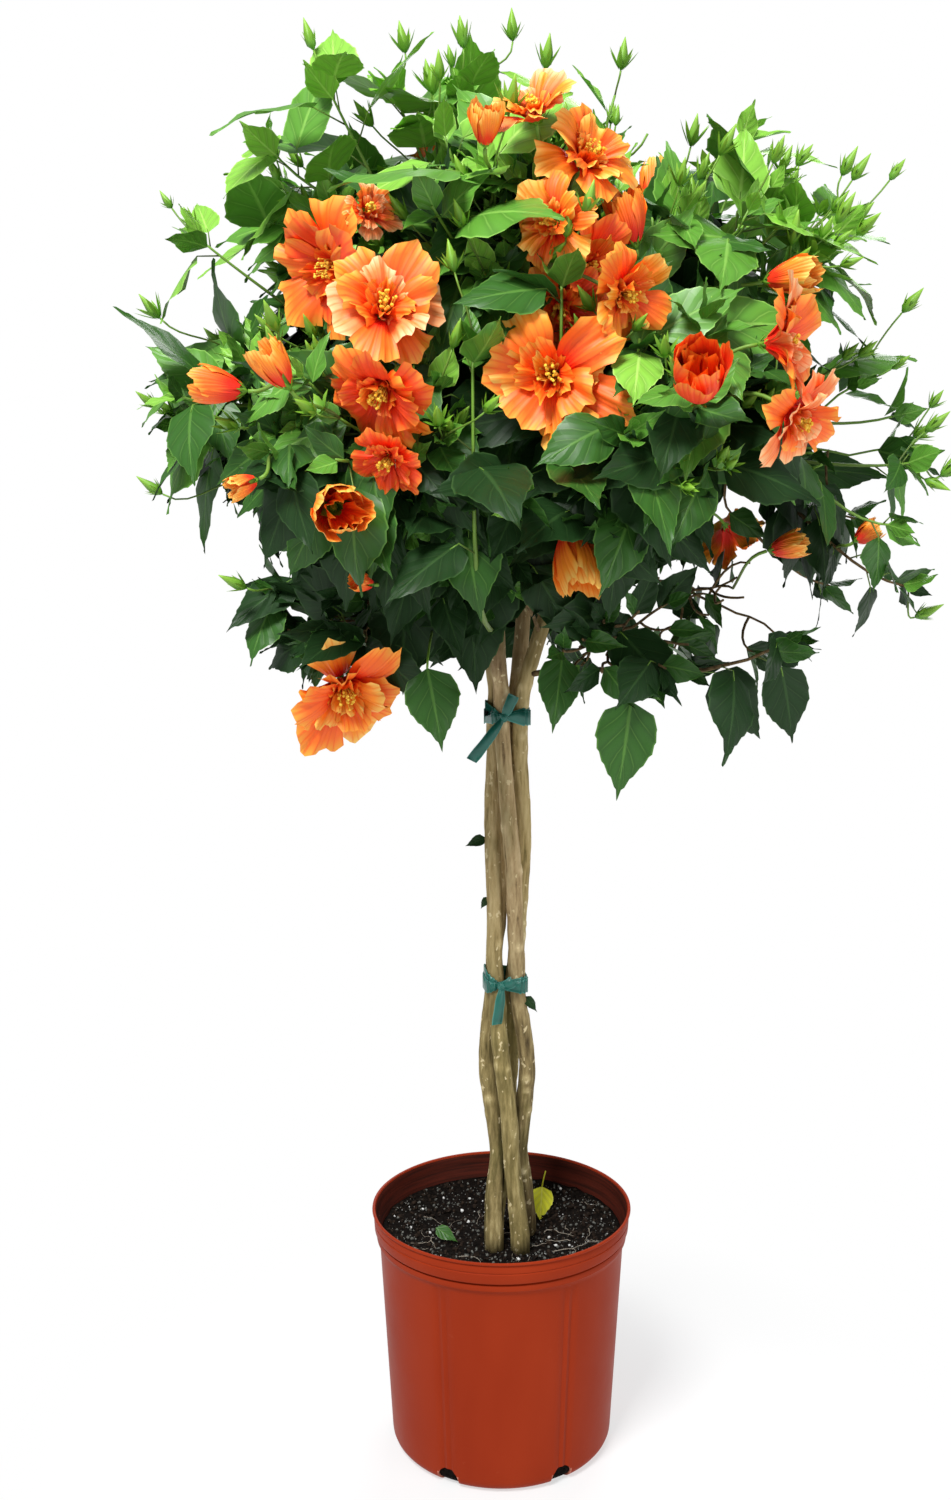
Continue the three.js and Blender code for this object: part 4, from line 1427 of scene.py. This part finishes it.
def add_bud(place, axis, size):
    bud_parts.add(*stamp_one(BUD, place, axis, square_pair(axis)[0], size))
    collar = size * rng.uniform(0.55, 0.85)
    add_collar(place + axis * size * 0.02, axis, collar, BRACTS, BRACT, rng.uniform(0.45, 0.8))


def empty_calyx(place, axis, size):
    """What is left when a bloom has dropped: a green star of five lobes."""
    add_collar(place, axis, size, SEPALS, SEPAL, 0.9)
    add_collar(place - axis * size * 0.05, axis, size * 0.7, BRACTS, BRACT, 1.2)


# %% [markdown]
# ## Where the blooms are
#
# The blooms in front are listed one by one: a bearing and a lift on the head, the way they face, their size
# and tint. Those at the back follow the same mix, dealt out evenly. Each is carried by a stalk from the
# nearest shoot.

# %% Bloom places
head_points, head_faces = [], []
for node in MASSES:
    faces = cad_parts[node].data.polygons
    head_faces += [[i + len(head_points) for i in face.vertices] for face in faces]
    head_points += node_points(node).tolist()
HEAD_SKIN = BVHTree.FromPolygons(head_points, head_faces)
OUTSIDE = 0.8
LEAST_AWAY = 0.27


def on_head(bearing, lift, sink):
    """A place on the head's skin in a direction from its middle, sunk below it."""
    way = heading(bearing, lift)
    hit = HEAD_SKIN.ray_cast(Vector(HEAD_MIDDLE + way * OUTSIDE), Vector(-way))
    away = OUTSIDE - hit[3] if hit[3] is not None else 0.3
    return HEAD_MIDDLE + way * (max(away, LEAST_AWAY) - sink)


# Bearing and lift on the head, bearing and lift that it faces, radius and tints.
OPEN_BLOOMS = [
    (271, 2, 258, -4, 0.060, "orange", "gold"),
    (231, 20, 222, -14, 0.060, "orange", "red"),
    (246, 12, 282, 24, 0.052, "orange", "peach"),
    (247, -1, 246, -40, 0.048, "red", "orange"),
    (279, 38, 305, 30, 0.044, "gold", "orange"),
    (268, 40, 250, 50, 0.034, "gold", "peach"),
    (271, 26, 235, 5, 0.036, "orange", "gold"),
    (279, 22, 300, -10, 0.038, "orange", "red"),
    (273, 15, 262, -32, 0.038, "red", "orange"),
    (283, 14, 310, -15, 0.036, "orange", "gold"),
    (239, 28, 300, 15, 0.024, "peach", "orange"),
    (300, 5, 340, 4, 0.046, "orange", "peach"),
    (301, -4, 325, -35, 0.040, "peach", "orange"),
    (224, -47, 290, -34, 0.058, "orange", "gold"),
    (248, -10, 240, -40, 0.031, "red", "red"),
]
# The same for blooms that are half open, with length instead of radius, and one tint.
HALF_OPEN = [
    (287, 0, 262, 26, 0.058, "red"), (243, -15, 285, -5, 0.056, "gold"),
    (277, -29, 305, -62, 0.056, "gold"), (229, 0, 185, 8, 0.038, "orange"),
    (237, 2, 205, 55, 0.038, "gold"), (314, 18, 335, 8, 0.042, "gold"),
    (336, -27, 350, 14, 0.032, "gold"), (342, -20, 350, 35, 0.025, "gold"),
    (233, -11, 200, -20, 0.022, "gold"),
    (236, -30, 220, 10, 0.019, "orange"), (261, 34, 275, 60, 0.030, "gold"),
    (287, 30, 200, 70, 0.040, "orange"),
]
TINTS = ["orange", "gold", "peach"]
BACK_BLOOMS = 14
BACK_HALF_OPEN = 10
# The back of the head: its first bearing and how far round it goes. Steps of these two shares never line up.
BACK_BEARINGS = (36, 120)
SPREAD = (0.7549, 0.5698)


def deal(k, bearing_start, lift_start, lowest, reach):
    """The k-th place of an even spread over the back of the head, as bearing and lift."""
    across, up = (k * SPREAD[0] + bearing_start) % 1, (k * SPREAD[1] + lift_start) % 1
    return BACK_BEARINGS[0] + BACK_BEARINGS[1] * across, lowest + reach * up


for k in range(BACK_BLOOMS):
    bearing, lift = deal(k, 0.3, 0.5, -28, 92)
    OPEN_BLOOMS.append((bearing, lift, bearing + (k * 37) % 60 - 30, lift + (k * 23) % 60 - 40,
                        0.038 + 0.002 * (k % 9), TINTS[k % 2], TINTS[(k // 2) % 3]))
for k in range(BACK_HALF_OPEN):
    bearing, lift = deal(k, 0.8, 0.2, -26, 88)
    HALF_OPEN.append((bearing, lift, bearing + 20, lift + 15, 0.036 + 0.003 * (k % 6), TINTS[(k + 1) % 3]))

# %% Blooms on their stalks
rng = np.random.default_rng(GROWTH_SEED + 1)
shoot_points = np.concatenate([shoot.path[3:] for shoot in shoots])
EYE = np.array([0, -CAMERA_AWAY, CAMERA_HEIGHT])
# How far blooms are sunk in the head's skin, and how much room they keep free of leaves, by their size.
OPEN_SINK, HALF_SINK = 0.026, 0.006
LARGE_BLOOM = 0.045
LARGE_ROOM, SMALL_ROOM, HALF_ROOM = 0.74, 0.5, 0.40
clearings = []


def add_flower_stalk(end, axis, thick=0.0014):
    """A stalk from the nearest twig behind a flower up to its foot."""
    behind = end - axis * 0.03
    nearest = shoot_points[np.argmin(np.linalg.norm(shoot_points - behind, axis=1))]
    gap = np.linalg.norm(end - nearest)
    leave = nearest + unit(end - nearest + UP * gap * 0.3) * gap * 0.4
    path = bend(nearest, leave, end - axis * gap * 0.35, end, 8)
    flower_stalks.add(*tube(path, np.linspace(thick, thick * 1.15, 8), 6))


def way_to_front(place):
    """Out of the head, or towards whoever looks at the plant if the place is on its front."""
    return unit(EYE - place) if place[1] < HEAD_MIDDLE[1] - 0.05 else unit(place - HEAD_MIDDLE)


for bearing, lift, to_bearing, to_lift, size, tint, other in OPEN_BLOOMS:
    place, axis = on_head(bearing, lift, OPEN_SINK), heading(to_bearing, to_lift)
    add_flower_stalk(open_bloom(place, axis, size, tint, other), axis)
    room = size * (LARGE_ROOM if size > LARGE_BLOOM else SMALL_ROOM)
    clearings.append((place, axis, room, way_to_front(place)))
for bearing, lift, to_bearing, to_lift, size, tint in HALF_OPEN:
    place, axis = on_head(bearing, lift, HALF_SINK), heading(to_bearing, to_lift)
    add_flower_stalk(half_open(place, axis, size, tint), axis)
    clearings.append((place, axis, size * HALF_ROOM, way_to_front(place)))
# Single buds that stand out of the head on long stalks.
TALL_BUDS = [(-0.165, -0.04, 1.335), (-0.085, -0.03, 1.335), (-0.062, -0.04, 1.300), (0.010, -0.03, 1.345),
             (-0.034, -0.02, 1.342), (0.298, -0.06, 1.225), (0.358, -0.05, 1.110), (0.380, -0.06, 1.005),
             (0.398, -0.05, 0.966), (0.372, -0.08, 0.840), (-0.305, -0.05, 1.105), (-0.308, -0.05, 0.950),
             (-0.222, -0.12, 0.868), (0.105, -0.04, 1.318), (0.272, -0.17, 1.165)]
for place in TALL_BUDS:
    place = np.array(place)
    axis = unit(unit(place - HEAD_MIDDLE) + UP * 0.9)
    add_flower_stalk(place, axis, 0.0008)
    add_bud(place, axis, 0.028)
print(len(OPEN_BLOOMS), "open blooms,", len(HALF_OPEN), "half open")

# %% Where no leaf may be
# How far behind a bloom's middle its free room begins, and how far in front it ends.
ROOM_BEHIND, ROOM_AHEAD = -0.012, 0.14


def hides_bloom(place):
    """True if a leaf here would lie in a bloom or in front of it."""
    for centre, axis, room, outward in clearings:
        gap = place - centre
        for way in (axis, outward):
            ahead = gap @ way
            if ROOM_BEHIND < ahead < ROOM_AHEAD and np.linalg.norm(gap - way * ahead) < room:
                return True
    return False


# Where the fork shows between the leaves: nothing hangs in front of it.
FORK_GAPS = [(0.006, 0.790, 0.030), (0.026, 0.826, 0.024), (0.075, 0.788, 0.018)]
# Places where the sky shows through the head from in front, in the plane of the trunk: x, z and radius.
SKY_GAPS = [(0.33, 1.01, 0.030), (0.23, 0.94, 0.028), (0.255, 0.86, 0.034), (0.15, 0.83, 0.026),
            (0.13, 1.23, 0.017), (0.335, 0.95, 0.016), (-0.25, 1.135, 0.020), (0.31, 1.045, 0.016),
            (-0.07, 1.23, 0.012), (-0.29, 1.10, 0.014), (0.30, 1.10, 0.012), (-0.245, 1.20, 0.012),
            (0.20, 1.21, 0.012), (-0.25, 0.91, 0.014), (-0.20, 0.83, 0.012), (0.085, 0.81, 0.014),
            (0.092, 0.776, 0.020), (0.17, 0.79, 0.016), (0.215, 0.848, 0.018), (0.130, 1.290, 0.020),
            (0.132, 1.335, 0.028), (0.165, 1.335, 0.028), (0.0, 1.315, 0.014), (-0.09, 1.275, 0.012),
            (0.105, 1.262, 0.012), (0.24, 1.16, 0.012)]
GAP_MARGIN = 0.006


def in_sky_gap(*places):
    """True if one of the places, seen from in front, lies in a gap."""
    for place in places:
        seen = EYE + (place - EYE) * CAMERA_AWAY / (place[1] + CAMERA_AWAY)
        gaps = SKY_GAPS + (FORK_GAPS if place[1] < -0.015 else [])
        for x, z, radius in gaps:
            if (seen[0] - x) ** 2 + (seen[2] - z) ** 2 < (radius + GAP_MARGIN) ** 2:
                return True
    return False


# %% [markdown]
# ## Leaves
#
# Leaves are dealt along every shoot by one rule, and first only their numbers are kept: foot, way, face and
# size. A particle system could scatter them, but it knows nothing of age or of the turn from leaf to leaf.
# What green a leaf has comes from its age and from painted light and shade: sunny shoots get lighter greens,
# and leaves deep in the head darker ones. At the end each kind of leaf is stamped as one piece.

# %% Kinds of leaf
rng = np.random.default_rng(GROWTH_SEED + 2)
# Leaves on the front half turn a little towards the light in front.
FRONT_TURN = np.array([0, 0.45, 0])
KINDS = ("leaf_deep", "leaf_full", "leaf_fresh", "leaf_young")
# The least score of a kind of leaf, from the youngest and sunniest down; the sun in the score is painted
# light.
LEAF_SCORES = ((0.74, "leaf_young"), (0.44, "leaf_fresh"), (0.17, "leaf_full"))
# How much darker a leaf's kind gets with its depth in the head, as painted shade, and how much younger a
# tuft's leaves are.
INNER_SHADE = 18
TUFT_AGE = -5
MOST_LEAVES = 8
# The lowest share of a shoot is bare, and its first leaves are smaller.
BARE_SHARE = 0.28
FIRST_LEAVES = (0.66, 0.84)
STALK_SHARES = (0.22, 0.36)
LEAF_STALK_RADII = [0.0009, 0.00075, 0.0007, 0.0004]
BOX_MARGIN = 0.004
WOODY_SUN = 0.22
TIP_BUD_CHANCE = 0.52
CALYX_CHANCE = 0.07
leaf_rows = {key: [] for key in KINDS}
leaf_stalks, green_shoots, brown_twigs = Heap(), Heap(), Heap()
BOX_LOW, BOX_HIGH = (np.array(corner) for corner in CAD_BOX)


def inside_box(*places):
    low, high = BOX_LOW - BOX_MARGIN, BOX_HIGH + BOX_MARGIN
    return all(np.all(place > low) and np.all(place < high) for place in places)


def leaf_kind(order, shoot):
    """The colour class of a leaf: how young it is, and how sunny its shoot, so that its green also carries
    painted light and shade.
    """
    score = shoot.sunny - 0.05 * order + rng.normal(0, 0.13)
    for least, kind in LEAF_SCORES:
        if score > least:
            return kind
    return "leaf_deep"


# %% Tufts and full leaves
def along_path(path, run, at):
    return np.array([np.interp(at, run, path[:, k]) for k in range(3)])


def add_tuft(shoot):
    """The growing tip: small folded leaves standing round it."""
    tip, along = shoot.path[-1], unit(shoot.path[-1] - shoot.path[-2])
    first, second = square_pair(along)
    turn = rng.uniform(0, 6)
    for k in range(shoot.tuft):
        aside = first * math.cos(turn) + second * math.sin(turn)
        lean = 0.35 + 0.17 * k + rng.normal(0, 0.1)
        size = (0.026 + 0.0062 * k) * rng.uniform(0.85, 1.15)
        way = unit(along * math.cos(lean) + aside * math.sin(lean) + UP * 0.12 * shoot.rise)
        base = tip - along * 0.004 * k + aside * 0.002
        end = base + way * size
        if inside_box(end) and end[2] > shoot.floor and not hides_bloom(end) and not in_sky_gap(end):
            face = along * 0.9 - aside * 0.5
            leaf_rows[leaf_kind(k + TUFT_AGE, shoot)].append((base, way, face, size, True))
        turn += GOLDEN


def dress_shoot(shoot):
    """Full leaves from below the tuft down to where the shoot is bare."""
    path = shoot.path
    run = run_along(path)
    length = run[-1]
    turn = rng.uniform(0, 6)
    full = rng.uniform(*LEAF_LENGTH) * shoot.scale
    at, order = length - 0.014, 0
    while at > length * BARE_SHARE and order < MOST_LEAVES:
        place = along_path(path, run, at)
        ahead, behind = min(at + 0.01, length), max(at - 0.01, 0)
        along = unit(along_path(path, run, ahead) - along_path(path, run, behind))
        first, second = square_pair(along)
        outward = unit(place - HEAD_MIDDLE)
        aside = unit(first * math.cos(turn) + second * math.sin(turn) + outward * 0.30)
        size = full * (FIRST_LEAVES[order] if order < len(FIRST_LEAVES) else rng.uniform(0.88, 1.08))
        low = 0.5 - 0.5 * shoot.rise
        droop = 0.05 + 0.95 * low ** 1.4 + rng.uniform(-0.12, 0.35)
        stalk = size * rng.uniform(*STALK_SHARES)
        stalk_way = unit(aside * 0.85 + along * 0.45 + UP * 0.2)
        base = place + stalk_way * stalk
        way = unit(aside + along * 0.25 - UP * droop + rng.normal(0, 0.14, 3))
        face = outward * (0.35 + 0.65 * low) + UP * (1.0 - 0.55 * low) + rng.normal(0, 0.24, 3)
        if place[1] < HEAD_MIDDLE[1] + 0.05:
            face = face - FRONT_TURN
        tip = base + way * size
        middle = (base + tip) / 2
        clear = not (hides_bloom(middle) or hides_bloom(tip) or in_sky_gap(base, middle, tip))
        if clear and inside_box(tip, base) and tip[2] > shoot.floor:
            # Leaves deep in the head get a darker green: painted shade.
            depth = max(0.0, 0.92 - np.linalg.norm(middle - HEAD_MIDDLE) / HEAD_RADIUS)
            leaf_rows[leaf_kind(order + INNER_SHADE * depth, shoot)].append((base, way, face, size, False))
            line = [place, place + stalk_way * stalk * 0.6, base, base + way * size * 0.12]
            leaf_stalks.add(*tube(line, LEAF_STALK_RADII, 3))
        turn += GOLDEN + rng.normal(0, 0.15)
        at -= (0.011 + 0.0035 * min(order, 4)) * rng.uniform(0.85, 1.2)
        order += 1


# %% Buds at the tips
def add_tip_buds(shoot):
    """One to three buds on stalks at a shoot's tip, the first on the longest stalk."""
    tip, along = shoot.path[-1], unit(shoot.path[-1] - shoot.path[-2])
    for k in range(int(rng.integers(1, 4))):
        length = rng.uniform(0.032, 0.064) if k == 0 else rng.uniform(0.012, 0.034)
        way = unit(along * 0.9 + unit(tip - HEAD_MIDDLE) * 0.35 + UP * 0.35 + rng.normal(0, 0.36, 3))
        size = rng.uniform(0.019, 0.029)
        foot = tip - along * rng.uniform(0, 0.012)
        end = foot + way * length
        lean = unit(way + UP * 0.25)
        if not inside_box(end + lean * size) or hides_bloom(end) or in_sky_gap(end):
            continue
        flower_stalks.add(*tube(bend(foot, foot + along * length * 0.4, end - lean * length * 0.3, end, 6),
                                np.full(6, 0.0008), 4))
        if rng.random() < CALYX_CHANCE:
            empty_calyx(end, lean, size * 0.8)
        else:
            add_bud(end, lean, size)


# %% Old leaves that hang below
# Foot of the stalk, foot of the blade, and tip.
HANGING = [((0.100, -0.12, 0.796), (0.108, -0.195, 0.778), (0.098, -0.205, 0.694)),
           ((-0.060, -0.10, 0.83), (-0.062, -0.19, 0.805), (-0.048, -0.215, 0.742)),
           ((0.060, -0.06, 0.800), (0.052, -0.16, 0.812), (0.044, -0.19, 0.752))]
for start, base, tip in HANGING:
    start, base, tip = (np.array(place) for place in (start, base, tip))
    blade, face = tip - base, np.array([0.1, -1, 0.25])
    leaf_rows["leaf_full"].append((base, unit(blade), face, np.linalg.norm(blade), False))
    leaf_stalks.add(*tube(bend(start, start + UP * 0.012, base + UP * 0.012, base, 6), [0.0011] * 6, 5))


# %% Every shoot dressed
for shoot in shoots:
    dress_shoot(shoot)
    add_tuft(shoot)
    wood = brown_twigs if shoot.sunny < WOODY_SUN else green_shoots
    wood.add(*tube(shoot.path, np.linspace(shoot.thick, 0.0011, len(shoot.path)), 6))
    if shoot.sunny > WOODY_SUN and rng.random() < TIP_BUD_CHANCE:
        add_tip_buds(shoot)


# %% Leaves, twigs, buds and blooms as pieces
for key in KINDS:
    heap = Heap()
    for young, templates in ((False, LEAVES), (True, YOUNG_LEAVES)):
        rows = [row for row in leaf_rows[key] if row[4] == young]
        for k, template in enumerate(templates):
            mine = rows[k::len(templates)]
            if mine:
                places, ways, faces, sizes = (np.array([row[i] for row in mine]) for i in range(4))
                heap.add(*stamp(template, places, ways, faces, sizes))
    made = heap.piece("leaves_" + key.split("_")[1], FINISH[key], "foliage")
    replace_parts(made, *MASSES)
    print(key, len(leaf_rows[key]), "leaves")
leaf_stalks.piece("leaf_stalks", FINISH["shoot_green"], "foliage")
green_shoots.piece("green_shoots", FINISH["shoot_green"], "bark")
brown_twigs.piece("brown_twigs", FINISH["twig_brown"], "bark")
flower_stalks.piece("flower_stalks", FINISH["shoot_green"], "foliage")
bud_parts.piece("buds", FINISH["bud_green"], "foliage")
anthers.piece("anthers", FINISH["anther_yellow"], "bloom")
for tint, heap in petals.items():
    heap.piece("petals_" + tint, FINISH["petal_" + tint], "bloom")


# %% [markdown]
# ## Fallen leaves
#
# A yellow leaf leans on the soil behind the stems, and a small green one has dropped beside them. Three
# small withered sprouts hang from the sides of the trunk.

# %% Fallen leaves
yellow, green, sprouts = Heap(), Heap(), Heap()
end = np.array([0.043, 0.078, SOIL_TOP + 0.020])
yellow.add(*stamp_one(LEAVES[0], end, (-0.05, -0.75, -0.40), (0.1, -0.5, 0.85), 0.042))
yellow.add(*tube([end, end + [0.002, 0.006, 0.007], end + [0.004, 0.010, 0.013]],
                 [0.0009, 0.0008, 0.0007], 5))
yellow.piece("fallen_yellow_leaf", FINISH["leaf_fallen"], "foliage")
green.add(*stamp_one(LEAVES[2], (-0.066, -0.006, SOIL_TOP + 0.014), (0.6, -0.25, -0.25), (0.2, -0.7, 0.7),
                     0.026))
green.piece("fallen_green_leaf", FINISH["leaf_full"], "foliage")
# Side of the trunk (-1 is left), height, the way it points and its length.
SPROUTS = [(-1, 0.615, (-0.95, -0.2, -0.35), 0.022), (-1, 0.570, (-0.5, -0.3, -0.8), 0.014),
           (1, 0.462, (0.6, -0.3, -0.7), 0.020)]
for side, height, way, length in SPROUTS:
    edges = []
    for line, radii in stem_lines.values():
        k = row_at(line, height)
        edges.append(line[k] + [side * (radii[k] - 0.001), 0, 0])
    foot = max(edges, key=lambda edge: side * edge[0])
    sprouts.add(*stamp_one(YOUNG_LEAVES[0], foot, way, (0.2, -0.8, 0.5), length))
sprouts.piece("trunk_sprouts", FINISH["leaf_deep"], "foliage")
